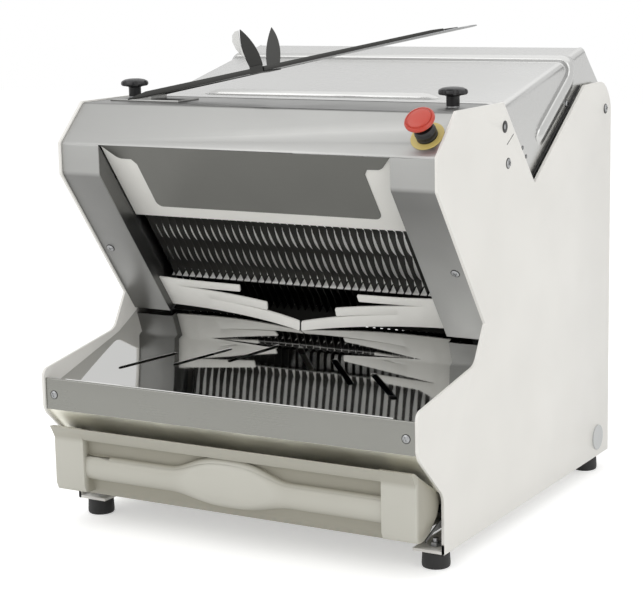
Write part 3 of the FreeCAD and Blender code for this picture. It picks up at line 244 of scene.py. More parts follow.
def stand(piece, foot, axis):
    """Moves an upright piece from the origin to its foot and leans it along its axis."""
    turn = UP.rotation_difference(axis).to_matrix().to_4x4()
    piece.data.transform(Matrix.Translation(foot) @ turn)
    return piece


def turned(name, spots, foot, axis=UP, steps=48):
    """Spins a line of (radius, height) spots in millimetres about an axis."""
    piece = draw_line(name, [Vector((r, 0, h)) * MM for r, h in spots])
    bpy.ops.mesh.spin(steps=steps, angle=math.tau, center=(0, 0, 0), axis=(0, 0, 1))
    bpy.ops.mesh.select_all(action="SELECT")
    bpy.ops.mesh.remove_doubles(threshold=2e-6)
    bpy.ops.mesh.normals_make_consistent(inside=False)
    to_object_mode()
    return stand(piece, foot, axis)


def drill(foot, radius, low, high, axis=UP, steps=24):
    """A round cutter from low to high along its axis."""
    return turned("hole", [(0, low), (radius, low), (radius, high), (0, high)], foot, axis,
                  steps)


def block(name, low, high):
    """A box between two corners given in metres."""
    piece = new_piece(name, bpy.ops.mesh.primitive_cube_add, size=1)
    piece.data.transform(Matrix.Translation((low + high) / 2)
                         @ Matrix.Diagonal((*(high - low), 1)))
    return piece


def close_ring(piece):
    """Bridges the two rims of an open turned ring and shades it."""
    edit(piece)
    bpy.ops.mesh.select_all(action="DESELECT")
    bpy.ops.mesh.select_non_manifold()
    bpy.ops.mesh.bridge_edge_loops()
    turn_outwards()
    return soften(piece, 0, angle=35)


def apply(piece, kind, **settings):
    """Adds a modifier and applies it."""
    only(piece)
    modifier = piece.modifiers.new(kind.title(), kind)
    for name, value in settings.items():
        setattr(modifier, name, value)
    bpy.ops.object.modifier_apply(modifier=modifier.name)
    return piece


def carve(piece, *tools, operation="DIFFERENCE"):
    """Cuts the tools out of a piece, or joins them to it."""
    for tool in tools:
        apply(piece, "BOOLEAN", operation=operation, object=tool, solver="EXACT")
        bpy.data.objects.remove(tool)
    return piece


def soften(piece, width, segments=2, angle=30):
    """Breaks the sharp edges and shades the rest smooth."""
    if width:
        apply(piece, "BEVEL", width=width * MM, segments=segments, limit_method="ANGLE",
              angle_limit=math.radians(angle), harden_normals=False,
              use_clamp_overlap=True)
    only(piece)
    bpy.ops.object.shade_smooth_by_angle(angle=math.radians(angle))
    return piece


def join(name, *pieces):
    only(*pieces)
    if len(pieces) > 1:
        bpy.ops.object.join()
    pieces[0].name = pieces[0].data.name = name
    return pieces[0]


def copy_of(piece, name, matrix):
    """A copy with its own mesh, moved by a matrix."""
    twin = piece.copy()
    twin.data = piece.data.copy()
    twin.name = twin.data.name = name
    bpy.context.scene.collection.objects.link(twin)
    twin.data.transform(matrix)
    if matrix.determinant() < 0:
        twin.data.flip_normals()
    return twin


def mirrored(piece, name):
    return copy_of(piece, name, Matrix.Diagonal((-1, 1, 1, 1)))


def dress(piece, finish, body="machine", nodes=()):
    """Gives a piece its finish, its body and the solids that it stands for."""
    piece.data.materials.clear()
    piece.data.materials.append(FINISHES[finish]())
    if nodes:
        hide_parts(*nodes)
    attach(piece, body)
    return piece


# ---------------------------------------------------------------- finishes
def feed(tree, target, source):
    """Gives a socket its plain value, or the socket that drives it."""
    if isinstance(source, bpy.types.NodeSocket):
        tree.links.new(source, target)
    else:
        target.default_value = source


def add(tree, kind, inputs=None, **settings):
    """A node with its settings; each of its inputs is a plain value or a socket."""
    made = tree.nodes.new(kind)
    for name, value in settings.items():
        setattr(made, name, value)
    for name, value in (inputs or {}).items():
        feed(tree, made.inputs[name], value)
    return made


def worked(tree, operation, *values):
    """A number worked out from plain values and sockets."""
    made = add(tree, "ShaderNodeMath", dict(enumerate(values)), operation=operation)
    return made.outputs[0]


def ramp(tree, value, start, end, low=0, high=1):
    """Turns a value that runs from start to end into one that runs from low to high."""
    made = add(tree, "ShaderNodeMapRange", {
        "Value": value, "From Min": start, "From Max": end, "To Min": low, "To Max": high})
    return made.outputs["Result"]


def own_place(tree):
    """The place of a point on its piece, in metres."""
    return add(tree, "ShaderNodeTexCoord").outputs["Object"]


def split(tree, vector):
    """The three numbers of a vector, by the names X, Y and Z."""
    return add(tree, "ShaderNodeSeparateXYZ", {0: vector}).outputs


def dimmed(tree, colour, share):
    """A colour times a share of one."""
    made = add(tree, "ShaderNodeVectorMath", {0: colour, "Scale": share}, operation="SCALE")
    return made.outputs[0]


def new_group(name, result, inputs):
    """A shader group with one output; inputs gives each input's name and default."""
    tree = bpy.data.node_groups.new(name, "ShaderNodeTree")
    for title, default in inputs.items():
        kind = "NodeSocketFloat" if isinstance(default, float) else "NodeSocketVector"
        socket = tree.interface.new_socket(title, in_out="INPUT", socket_type=kind)
        socket.default_value = default
    tree.interface.new_socket(result, in_out="OUTPUT", socket_type="NodeSocketFloat")
    given = add(tree, "NodeGroupInput").outputs
    return tree, given, add(tree, "NodeGroupOutput").inputs[0]


def grain_group():
    """Long fine lines, as brushing or rolling leaves on a sheet."""
    name = "Sheet grain"
    if name in bpy.data.node_groups:
        return bpy.data.node_groups[name]
    tree, given, out = new_group(name, "Lines", {"Stretch": (30, 900, 900), "Contrast": 1.0})
    stretched = add(tree, "ShaderNodeVectorMath", {0: own_place(tree), 1: given["Stretch"]},
                    operation="MULTIPLY")
    noise = add(tree, "ShaderNodeTexNoise", {
        "Vector": stretched.outputs[0], "Scale": 1, "Detail": 3, "Roughness": 0.6})
    centred = worked(tree, "SUBTRACT", noise.outputs["Fac"], 0.5)
    feed(tree, out, worked(tree, "MULTIPLY_ADD", centred, given["Contrast"], 0.5))
    return tree


def mottle_group():
    """Soft uneven patches, for handling marks and for the skin of paint and plastic."""
    name = "Mottle"
    if name in bpy.data.node_groups:
        return bpy.data.node_groups[name]
    tree, given, out = new_group(name, "Patches", {
        "Scale": 12.0, "Detail": 3.0, "Low": 0.0, "High": 1.0})
    noise = add(tree, "ShaderNodeTexNoise", {
        "Vector": own_place(tree), "Scale": given["Scale"], "Detail": given["Detail"],
        "Roughness": 0.55})
    feed(tree, out, ramp(tree, noise.outputs["Fac"], 0.3, 0.7, given["Low"], given["High"]))
    return tree


def painted_shade_group():
    """Painted shade: a share of one that falls off on faces that look down, less so low on the
    right, and on faces that look straight up."""
    name = "Under side"
    if name in bpy.data.node_groups:
        return bpy.data.node_groups[name]
    tree, given, out = new_group(name, "Share", {"Least": 1.0, "Over": 1.0})
    # Where the painted shade eases: low on the columns, and most on the right.
    column_top, column_foot, column_x = 0.48, 0.28, 0.25
    left_lift, right_lift = 0.25, 1.3
    spot = split(tree, own_place(tree))
    upward = split(tree, add(tree, "ShaderNodeNewGeometry").outputs["Normal"])["Z"]
    low = ramp(tree, spot["Z"], column_top, column_foot)
    right = ramp(tree, spot["X"], -column_x, column_x, left_lift, right_lift)
    lift = worked(tree, "MULTIPLY_ADD", low, right, 1.0)
    least = worked(tree, "MULTIPLY", lift, given["Least"])
    under = ramp(tree, upward, -0.55, 0.05, least)
    over = ramp(tree, upward, 0.8, 0.95, 1, given["Over"])
    feed(tree, out, worked(tree, "MULTIPLY", under, over))
    return tree


def use_group(tree, group, **inputs):
    """What a shader group puts out for these inputs."""
    return add(tree, "ShaderNodeGroup", inputs, node_tree=group).outputs[0]


def shades(tree, colour, factor, spread):
    """Mixes a darker and a lighter shade of a colour by a mask, and returns its socket."""
    dark = [max(0, c * (1 - spread)) for c in colour[:3]]
    light = [min(1, c * (1 + spread)) for c in colour[:3]]
    mix = add(tree, "ShaderNodeMix", {"A": (*dark, 1), "B": (*light, 1), "Factor": factor},
              data_type="RGBA")
    return mix.outputs["Result"]


def new_material(name, constants=None):
    """A material, its tree and the sockets of its shader, with the shader's constants."""
    material = bpy.data.materials.new(name)
    material.use_nodes = True
    shader = material.node_tree.nodes["Principled BSDF"].inputs
    for title, value in (constants or {}).items():
        shader[title].default_value = value
    return material, material.node_tree, shader


def bump(tree, shader, height, strength):
    """Gives the surface a fine relief by a mask."""
    made = add(tree, "ShaderNodeBump", {
        "Strength": strength, "Distance": 0.2 * MM, "Height": height})
    feed(tree, shader["Normal"], made.outputs["Normal"])


def metal(name, colour, rough, stretch=(14, 900, 900), spread=0.08, lines=1.0,
          relief=0.04, anisotropic=0.0, under=1.0, over=1.0):
    """Bare metal: fine lines in its colour and relief, handling marks in its gloss."""
    if name in bpy.data.materials:
        return bpy.data.materials[name]
    material, tree, shader = new_material(name, {"Metallic": 1, "Anisotropic": anisotropic})
    grain = use_group(tree, grain_group(), Stretch=stretch, Contrast=lines)
    marks = use_group(tree, mottle_group(), Scale=9, Low=rough * 0.85, High=rough * 1.2)
    tone = shades(tree, colour, grain, spread)
    # Painted shade: under and over darken the faces that look down or straight up.
    if under < 1 or over < 1:
        tone = dimmed(tree, tone, use_group(tree, painted_shade_group(), Least=under, Over=over))
    feed(tree, shader["Base Color"], tone)
    feed(tree, shader["Roughness"], worked(tree, "MULTIPLY_ADD", grain, rough * 0.5, marks))
    bump(tree, shader, grain, relief)
    return material


def coat(name, colour, rough, grit=1400, relief=0.12, spread=0.025, gloss=0.0, metallic=0):
    """Paint, plastic or rubber: a faint skin texture and slightly uneven colour."""
    if name in bpy.data.materials:
        return bpy.data.materials[name]
    material, tree, shader = new_material(name, {
        "Metallic": metallic, "Coat Weight": gloss, "Coat Roughness": 0.12})
    tone = use_group(tree, mottle_group(), Scale=7, Detail=2)
    skin = use_group(tree, mottle_group(), Scale=grit, Detail=1)
    wear = use_group(tree, mottle_group(), Scale=16, Low=rough * 0.88, High=rough * 1.12)
    feed(tree, shader["Base Color"], shades(tree, colour, tone, spread))
    feed(tree, shader["Roughness"], wear)
    bump(tree, shader, skin, relief)
    return material


def recoloured(material, change):
    """Puts a change between a material's colour and its shader."""
    tree = material.node_tree
    target = tree.nodes["Principled BSDF"].inputs["Base Color"]
    feed(tree, target, change(tree, target.links[0].from_socket))
    return material


def pusher_painted_light():
    """A satin plate with painted light and shade: teeth darkened as painted shade, a painted
    highlight along its foot, and a face painted brighter upwards.
    """
    name = "Pusher sheet painted light"
    if name in bpy.data.materials:
        return bpy.data.materials[name]
    teeth_top, foot_middle, foot_half, plate_low, plate_high = (
        length * MM for length in (12.4, 19, 6.6, 25, 75))
    teeth_shade, low_shade = 0.2, 0.75

    def change(tree, colour):
        above = add(tree, "ShaderNodeVectorMath", {0: own_place(tree), 1: in_throat(0, 0, 0)},
                    operation="SUBTRACT")
        along = add(tree, "ShaderNodeVectorMath", {0: above.outputs[0], 1: THROAT_UP},
                    operation="DOT_PRODUCT")
        height = along.outputs["Value"]
        # Painted highlight on the foot, and painted shade on the teeth and low on the face.
        share = ramp(tree, height, plate_low, plate_high, low_shade)
        foot = worked(tree, "COMPARE", height, foot_middle, foot_half)
        painted_light = worked(tree, "SUBTRACT", worked(tree, "MAXIMUM", share, foot), teeth_shade)
        plate_mask = worked(tree, "GREATER_THAN", height, teeth_top)
        return dimmed(tree, colour, worked(tree, "MULTIPLY_ADD", painted_light, plate_mask,
                                           teeth_shade))

    return recoloured(metal(name, (0.95, 0.95, 0.93), 0.5, spread=0.03), change)


def moulded():
    """The drawer's plastic: its own pale colour where it stands forward, with painted shade in
    its recess and on its lip.
    """
    name = "Drawer plastic painted shade"
    if name in bpy.data.materials:
        return bpy.data.materials[name]
    front, recess_depth = at(0, 12, 0).y, 0.009
    lip_low, lip_high, lip_shade = 0.129, 0.136, 0.6
    shade_tone = [c * 0.62 * k for c, k in zip(colours().drawer, (1.03, 1, 0.92))]

    def change(tree, colour):
        spot = split(tree, own_place(tree))
        # Painted shade: the recess and the lip take the darker tone.
        recess = ramp(tree, spot["Y"], front, front + recess_depth)
        lip = ramp(tree, spot["Z"], lip_low, lip_high, 0, lip_shade)
        tone = add(tree, "ShaderNodeMix", {
            "A": colour, "B": (*shade_tone, 1), "Factor": worked(tree, "MAXIMUM", recess, lip)},
            data_type="RGBA")
        return tone.outputs["Result"]

    return recoloured(coat(name, colours().drawer, 0.4, 1700, 0.07), change)


def colours():
    return bpy.context.scene.slicer_finishes


FINISHES = {
    "white_paint": lambda: coat("Powder coat", colours().paint, 0.38),
    # The hood's brushed sheet, with painted shade on its faces that look down or straight up.
    "brushed_sheet": lambda: metal("Brushed sheet", colours().sheet, 0.33, spread=0.05,
                                   anisotropic=0.3, under=0.52, over=0.56),
    # The fascia's stainless darkened as a painted dark reflection.
    "fascia_reflection_sheet": lambda: metal("Fascia sheet painted reflection", (0.24, 0.24, 0.222), 0.2, spread=0.05),
    "lid_sheet": lambda: metal("Lid sheet", (0.54, 0.54, 0.53), 0.2, spread=0.04),
    # The column returns: stainless made dark as painted shade inside the columns.
    "return_shade_sheet": lambda: metal("Column return painted shade", (0.2, 0.2, 0.195), 0.3, spread=0.2),
    "pusher_painted_sheet": pusher_painted_light,
    "chute_sheet": lambda: metal("Chute sheet", (0.85, 0.84, 0.76), 0.4, spread=0.05),
    # The tray's flanges and the bag holder: stainless nearly black as a painted dark
    # reflection.
    "tray_reflection_sheet": lambda: metal("Tray sheet painted reflection", (0.05, 0.05, 0.048), 0.3, spread=0.1),
    "polished_sheet": lambda: metal(
        "Polished sheet", colours().polished, 0.035, spread=0.02, lines=0.6, relief=0.008),
    # The deflector's stainless darkened as painted shade and painted dark reflection.
    "deflector_shade_sheet": lambda: metal(
        "Deflector sheet painted shade", (0.15, 0.15, 0.14), 0.3, spread=0.05),
    # The blades' steel made near black as painted shade inside the throat.
    "blade_steel": lambda: metal(
        "Blade steel painted shade", colours().blade, 0.25, stretch=(900, 60, 60), spread=0.15),
    "zinc_steel": lambda: metal("Zinc plated steel", (0.34, 0.345, 0.35), 0.24, (60, 60, 60)),
    # Dark steel of the washers, and painted shade for the inside of the hopper.
    "dark_steel": lambda: coat("Dark steel and painted shade", (0.02, 0.02, 0.018), 0.35, metallic=0.5),
    "white_plastic": lambda: coat("White plastic", colours().plastic, 0.42, 2200, 0.05),
    "drawer_plastic": moulded,
    "black_rubber": lambda: coat("Black rubber", (0.012, 0.012, 0.012), 0.65, 900, 0.3, 0.2),
    "black_plastic": lambda: coat("Black plastic", (0.008, 0.008, 0.009), 0.36, 1500, 0.1,
                                  0.15),
    "red_plastic": lambda: coat("Red plastic", colours().stop, 0.3, 2000, 0.03, 0.03, 0.3),
    "yellow_plastic": lambda: coat("Yellow plastic", colours().disc, 0.35, 2000, 0.04),
    "grey_plastic": lambda: coat("Grey plastic", (0.55, 0.56, 0.56), 0.4, 1500, 0.08),
    "cast_housing": lambda: coat("Cast housing", (0.06, 0.075, 0.095), 0.45, 500, 0.5, 0.1),
}


# ---------------------------------------------------------------- casing
PANEL = [(118, 605), (61.93, 551), (61.93, 506.16), (203, 312), (173, 261), (0, 233),
         (0, 174), (73, 105), (73, 24.5), (PANEL_REAR, 24.5), (PANEL_REAR, 573),
         (648, 596.5), (628, 609), (556, 608), (370, 484), (265, 605)]
PANEL_ROUNDED = (4, 5, 6, 7, 10, 11, 12)
PANEL_THICKNESS = PANEL_OUTER - PANEL_INNER
COLUMN_FOOT, GUARD_LOW, GUARD_TOP = -36, 136.6, 271


def make_side_panels(sizes):
    """The painted plates with their loading notch and bottom flange."""
    outline = profile(PANEL_INNER, PANEL)
    spots = [outline[n] for n in PANEL_ROUNDED]
    panel = plate("side_panel_right_skin", outline, RIGHT * PANEL_THICKNESS * MM,
                  [(spots, 10)])
    outer, start = PANEL_OUTER - 0.1, 73
    line = [at(x, start, z) for x, z in ((outer, 38), (outer, 24.5), (253, 24.5))]
    flange = folded("flange", line, [(1, 2)], RIGHT, BACK * (PANEL_REAR - start) * MM,
                    PANEL_THICKNESS)
    carve(panel, flange, operation="UNION")
    holes = [drill(at(298, HINGE_Y, HINGE_Z), 7, -6, 6, RIGHT, 32)]
    holes += [drill(at(FOOT_X, y, 26.5), 4.2, -6, 6) for y in FEET_Y]
    soften(carve(panel, *holes), sizes.edge)
    dress(mirrored(panel, "side_panel_left_skin"), "white_paint", nodes=["side_panel_left"])
    dress(panel, "white_paint", nodes=["side_panel_right"])


def make_hood():
    """One folded sheet with two leaning columns, a band, a slope and the top."""
    line = [in_throat(-PANEL_INNER, 0, COLUMN_FOOT)]
    line += profile(-PANEL_INNER, [(SLOPE_LOW[0], 506.74), SLOPE_LOW, SLOPE_HIGH,
                                   (252, SLOPE_HIGH[1])])
    hood = folded("front_hood_skin", line, [(1, 4), (2, 3), (3, 4)], -THROAT_BACK)
    throat = block("throat", at(-THROAT_HALF, -20, 200), at(THROAT_HALF, 420, 549))
    carve(hood, throat, drill(at(STOP_X, STOP_Y, STOP_Z), 11.9, -9, 9, SLOPE_NORMAL, 32))
    returns = []
    for side in (1, -1):
        x = side * THROAT_HALF
        returns.append(plate("flap", [
            in_throat(x, 0.2, COLUMN_FOOT), in_throat(x, 26, COLUMN_FOOT),
            in_throat(x, 26, GUARD_TOP), at(x, 65.2, 548), at(x, 65.2, 507)],
            RIGHT * side * SHEET * MM))
    dress(soften(join("column_returns", *returns), 0.3, 1), "return_shade_sheet")
    dress(soften(hood, 0.35), "brushed_sheet", nodes=["front_hood"])


def make_deflector():
    """The satin deflector and the white guard behind it."""
    corners = [(-182, 157), (182, 157), (182, 238), (188, 247), (209, 247.5), (230.6, 272),
               (-230.6, 272), (-209, 247.5), (-188, 247), (-182, 238)]
    outline = [in_throat(x, 27, s) for x, s in corners]
    deflector = plate("deflector_skin", outline, THROAT_BACK * 1.2 * MM,
                      [(outline[0:2], 10), (outline[4:5] + outline[7:8], 6)])
    dress(soften(deflector, 0.3, 1), "deflector_shade_sheet", nodes=["deflector_plate"])
    half = THROAT_HALF - 0.4
    guard = plate("guard_skin", [in_throat(x, 28.2, s) for x, s in (
        (-half, GUARD_LOW), (half, GUARD_LOW), (half, GUARD_TOP), (-half, GUARD_TOP))],
        THROAT_BACK * 2.4 * MM)
    dress(soften(guard, 0.5), "white_plastic", nodes=["guard_plate"])


def make_finger_guides():
    """White plates at the columns, each with three fingers that droop and twist."""
    outline = [(THROAT_HALF, 24), (97.5, 12.5), (98.5, 2.5), (205, 8), (56.5, -12),
               (57.5, -22.5), (160, -14), (1.5, -30), (1.5, -40), (120, -37),
               (THROAT_HALF, -33)]
    corners = [in_throat(x, 0, s) for x, s in outline]
    tips = [corners[n] for n in (1, 2, 4, 5, 7, 8)]
    guide = plate("finger_guide_right_skin", corners, THROAT_BACK * 2.5 * MM, [(tips, 1.5)])
    root, stride = 225, 15
    root_depth, tip_depth, tip_twist = 12, 9, 0.82
    for x in range(stride, root + 1, stride):
        edit(guide)
        bpy.ops.mesh.bisect(plane_co=at(x, 0, 0), plane_no=RIGHT)
    to_object_mode()
    for vertex in guide.data.vertices:
        s = (vertex.co - in_throat(0, 0, 0)).dot(THROAT_UP) / MM
        reach = max(0, (root - vertex.co.x / MM) / root)
        vertex.co += THROAT_BACK * MM * (
            root_depth + reach ** 2 * (tip_depth + tip_twist * s))
    soften(guide, 0.5)
    dress(mirrored(guide, "finger_guide_left_skin"), "white_plastic",
          nodes=["finger_guide_left"])
    dress(guide, "white_plastic", nodes=["finger_guide_right"])


TABLE_SLOTS = (((66, 134), (20, 184)), ((143, 109), (87, 164)), ((222, 85), (164, 137)))
SLOT_RADIUS = 4.2


def make_table():
    """The polished table with its lip and slots, the fascia and the crumb chute."""
    line = profile(-PANEL_INNER, [(7, 222.5), (7, 203.5), (183, 255), (237, 284)])
    table = folded("outfeed_table_skin", line, [(1, 4), (2, 5)], BACK)
    cuts = [slot_cutter(Vector((side * near[0], near[1])), Vector((side * far[0], far[1])))
            for near, far in TABLE_SLOTS for side in (1, -1)]
    cuts += [block("notch", at(low, -5, 211.5), at(low + 38, 13, 240)) for low in (-300, 262)]
    dress(soften(carve(table, *cuts), 0.3, 1), "polished_sheet", nodes=["outfeed_table"])
    line = profile(-PANEL_INNER, [(3, 176), (3, 221), (5.1, 221)])
    fascia = folded("front_fascia_skin", line, [(1, 1.5)], -BACK)
    dress(soften(fascia, 0.3, 1), "fascia_reflection_sheet", nodes=["front_fascia"])
    line = profile(-PANEL_INNER, [(4.5, 182), (4.5, 176), (72, 109), (76, 131)])
    chute = folded("crumb_chute_skin", line, [(1, 2), (2, 3)], -BACK)
    dress(soften(chute, 0.3, 1), "chute_sheet", nodes=["crumb_chute"])


def slot_cutter(near, far):
    """An upright prism with round ends that cuts one slot of the table."""
    along = (far - near).normalized()
    side = Vector((-along.y, along.x)) * SLOT_RADIUS
    points = []
    for centre, start in ((far, -1), (near, 1)):
        for step in range(7):
            turn = math.pi * step / 6
            offset = side * math.cos(turn) + along * math.sin(turn) * SLOT_RADIUS
            points.append(centre + offset * -start)
    return plate("slot", [at(p.x, p.y, 180) for p in points], UP * 160 * MM)


# ---------------------------------------------------------------- lid
LID_HALF, CREASE = 290, 12
ROLL_RADIUS, ROLL_START, ROLL_END = 33.5, 110, 50
CREST, LID_REAR = Vector((585, 662.8)), Vector((641, 608))


def on_roll(turn):
    """A point (y, z) of the roll round the hinge, by its angle in degrees."""
    return (HINGE_Y + ROLL_RADIUS * math.cos(math.radians(turn)),
            HINGE_Z + ROLL_RADIUS * math.sin(math.radians(turn)))


def lid_top(x, y, lift=0):
    """A point of the lid's flat top, with a height above it."""
    start = Vector(on_roll(ROLL_END))
    run = (CREST - start).normalized()
    z = start.y + (y - start.x) * run.y / run.x
    return at(x, y - lift * run.y, z + lift * run.x)


LID_NORMAL = (lid_top(0, 400, 1) - lid_top(0, 400)) / MM
LID_RUN = RIGHT.cross(LID_NORMAL) * -1


def bead(name, stations, steps=12, sunk=0.12):
    """A pressed bead laid along stations of (point, sideways, outward, half width, height),
    its edges a little sunk into the sheet."""
    def section(point, side, out, half, height):
        shares = [2 * n / steps - 1 for n in range(steps + 1)]
        return [point + side * u * half * MM
                + out * (height * (0.5 + 0.5 * math.cos(math.pi * u)) - sunk) * MM
                for u in shares]

    piece = loft(name, [section(*station) for station in stations])
    point, _, out, _, _ = stations[len(stations) // 2]
    only(facing(piece, point, out))
    bpy.ops.object.shade_smooth()
    return piece


def rear_bead_stations():
    """Across the top near its crest, over both creases and down the side walls."""
    half, height, bend_radius, bend_steps, place = 20, 5.8, 24, 7, 519
    right = []
    centre = lid_top(LID_HALF - CREASE, place) - LID_NORMAL * CREASE * MM
    for step in range(7):
        turn = math.radians(15 * step)
        out = RIGHT * math.sin(turn) + LID_NORMAL * math.cos(turn)
        right.append((centre + out * CREASE * MM, LID_RUN, out, half, height))
    point = right[-1][0]
    down, along = -LID_NORMAL, Vector((0, -0.842, -0.539))
    full = down.angle(along)
    for step in range(1, bend_steps + 1):
        turn = full * step / bend_steps
        heading = down * math.cos(turn) - LID_RUN * math.sin(turn)
        point = point + heading * (full / bend_steps * bend_radius) * MM
        side = LID_RUN * math.cos(turn) + down * math.sin(turn)
        right.append((point, side, RIGHT, half, height))
    for run, share in ((40, 1), (40, 1), (28, 1), (10, 0.95), (7, 0.75), (4, 0.4), (1.5, 0.02)):
        point = point + along * run * MM
        right.append((point, side, RIGHT, half * (0.35 + 0.65 * share), height * share))
    flip = Vector((-1, 1, 1))
    left = [(point * flip, side * flip, out * flip, a, b)
            for point, side, out, a, b in reversed(right)]
    return left + right


def ridge_stations():
    """A low ridge across the top that fades at both ends: (place across, share of height)."""
    place, half, height = 318, 20, 8
    fades = ((-216, 0.02), (-207, 0.45), (-197, 0.8), (-185, 1), (-60, 1), (60, 1),
             (150, 1), (160, 0.8), (170, 0.45), (179, 0.02))
    return [(lid_top(x, place), LID_RUN, LID_NORMAL, half * (0.1 + 0.9 * share),
             height * share) for x, share in fades]


def lid_shell():
    """The lid's bent sheet, open below, with its side creases and its rear crest rounded."""
    outline = [on_roll(turn) for turn in range(ROLL_START, ROLL_END - 1, -6)]
    outline += [tuple(CREST), tuple(LID_REAR)]
    creased = {tuple(round(c, 6) for c in at(0, y, z).yz) for y, z in outline}
    outline += [(637, 602), (562, 590), (550, 585), (388, 484.5), (256.2, 555.7)]
    lid = plate("lid_cover_skin", profile(-LID_HALF, outline), RIGHT * 2 * LID_HALF * MM)
    edit(lid)

    def on_side(a, b):
        return all(tuple(round(c, 6) for c in v.yz) in creased for v in (a, b)) \
            and abs(a.x - b.x) < 1e-6

    pick_edges(lid, on_side)
    bpy.ops.mesh.bevel(offset=CREASE * MM, segments=6, affect="EDGES", clamp_overlap=False)
    bpy.ops.mesh.select_mode(type="FACE")
    mesh = bmesh.from_edit_mesh(lid.data)
    for face in mesh.faces:
        across = abs(face.normal.x) < 0.5
        face.select_set(across and (face.normal.z < -0.3 or face.normal.y < -0.9))
    bmesh.update_edit_mesh(lid.data)
    bpy.ops.mesh.delete(type="FACE")
    bpy.ops.mesh.select_mode(type="EDGE")
    crest, near = at(0, *CREST), 2 * MM
    pick_edges(lid, lambda a, b: (a - crest).yz.length < near and (b - crest).yz.length < near
               and abs(a.x - b.x) > 5 * near)
    bpy.ops.mesh.bevel(offset=7 * MM, segments=5, affect="EDGES")
    to_object_mode()
    apply(lid, "SOLIDIFY", thickness=SHEET * MM, offset=-1)
    return soften(lid, 0, angle=35)


def make_lid():
    """The drawn lid: a roll at the hinge, a flat top, a rear fall and deep side walls."""
    lid = join("lid_cover_skin", lid_shell(), bead("lid_bead", rear_bead_stations()),
               bead("lid_ridge", ridge_stations()))
    dress(lid, "lid_sheet", body="lid", nodes=["lid_cover"])
    for side in (1, -1):
        strip = plate("lid_seal_strip", profile(side * 288, [
            (550.6, 585.8), (553.6, 580.6), (390.5, 479.6), (387.6, 484.8)]),
            RIGHT * side * 3 * MM)
        lip = plate("lip", profile(side * 289.6, [
            (371, 481.6), (369.6, 483.8), (556, 608.1), (557.4, 606)]),
            RIGHT * side * 2.6 * MM)
        dress(soften(join("lid_seal_strip", strip, lip), 0.8, 3), "black_rubber",
              body="lid", nodes=["lid_seals"] if side > 0 else ())


# ---------------------------------------------------------------- drawer
DRAWER_HALF, HANDLE_HALF = 290, 241


def wave(x):
    """How far the handle's swelling has grown at a place across the drawer."""
    return 0.5 + 0.5 * math.cos(math.pi * min(1, (abs(x) / 98) ** 1.35))


def across_drawer(name, one_end, other_end, outline):
    """A prism with a (y, z) outline that runs across the drawer between two places."""
    low, high = sorted((one_end, other_end))
    return plate(name, profile(low, outline), RIGHT * (high - low) * MM)


def drawer_body():
    """The flared lip, the end blocks and the deep lower wall."""
    shell = [(0, 152), (11, 134), (20, 131), (24, 124), (24, 84), (27, 78), (33, 60),
             (40, 47), (338, 47), (338, 98), (335, 98), (335, 50), (42, 50), (36, 62),
             (30, 79), (27, 85), (27, 126), (22, 134), (13.5, 136.5), (3, 152)]
    end_block = [(1, 151.5), (10.5, 133), (10, 126), (10, 66), (14, 56), (22, 54), (44, 54),
                 (72, 78), (82, 98), (82, 106), (45, 128), (8, 151.5)]
    rail_room = [(30, 0), (360, 0), (360, 79), (80, 79), (30, 54)]
    body = across_drawer("drawer_front", -DRAWER_HALF, DRAWER_HALF, shell)
    ends, rooms = [], []
    for side in (1, -1):
        low, high = sorted((side * DRAWER_HALF, side * 240))
        end = across_drawer("end", low, high, end_block)
        hollow = block("hollow", at(low + 4, 30, 60), at(high - 4, 90, 160))
        ends.append(carve(end, hollow))
    for side in (1, -1):
        rooms.append(across_drawer("under", side * 262, side * 300, rail_room))
    carve(body, *rooms)
    return soften(carve(body, *ends, operation="UNION"), 1.4, 3, 35)


def drawer_handle():
    """A bar that swells in the middle and grows out of the wall above and below."""
    steps, rings, outer = 14, [], (120, 150, 200, HANDLE_HALF)
    bar_top, bar_low, bar_front, wall_front, wall_bend = 111, 74, 13.5, 25.5, 83
    left = [-place for place in reversed(outer)]
    for x in [*left, *range(-105, 106, 7), *outer]:
        grown = wave(x)
        top, low = bar_top + 23.5 * grown, bar_low - 12 * grown
        front, middle, half = bar_front - 5.5 * grown, (top + low) / 2, (top - low) / 2
        chain = []
        for step in range(steps + 1):
            turn = math.pi * step / steps
            bulge = math.sin(turn) ** 0.55 if 0 < step < steps else 0
            z = middle + half * math.cos(turn)
            wall = wall_front + max(0, wall_bend - z) * 0.35
            chain.append(at(x, wall - (wall - front) * bulge, z))
        rings.append(chain)
    handle = facing(loft("drawer_handle", rings), at(0, 0, bar_top), -BACK)
    return soften(handle, 0, angle=50)


def make_drawer():
    """The moulded front with its handle."""
    drawer = join("crumb_drawer_skin", drawer_body(), drawer_handle())
    dress(drawer, "drawer_plastic", body="drawer", nodes=["crumb_drawer"])


# ---------------------------------------------------------------- knobs and stop
def make_knobs():
    """Star knobs with seven lobes and a domed head."""
    lobes = 7
    for word in ("right", "left"):
        low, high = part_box(f"star_knob_{word}")
        centre = Vector(((low.x + high.x) / 2, (low.y + high.y) / 2, low.z))
        tall = (high.z - low.z) / MM
        knob = turned(f"star_knob_{word}_skin", [
            (0, 0), (8.4, 0), (9, 0.6), (9, tall - 12.6), (10.5, tall - 11.6),
            (18.4, tall - 10.2), (20, tall - 8.4), (20, tall - 5.6), (18.6, tall - 3.4),
            (14, tall - 1.2), (8, tall - 0.2), (0, tall)], centre, steps=56)
        for lobe in range(lobes):
            turn = math.tau * lobe / lobes
            spot = centre + Vector((math.cos(turn), math.sin(turn), 0)) * 22.6 * MM
            carve(knob, drill(spot, 5.2, 13, 40))
        dress(soften(knob, 0.7, 2, 38), "black_plastic", body=f"knob_{word}",
              nodes=[f"star_knob_{word}"])


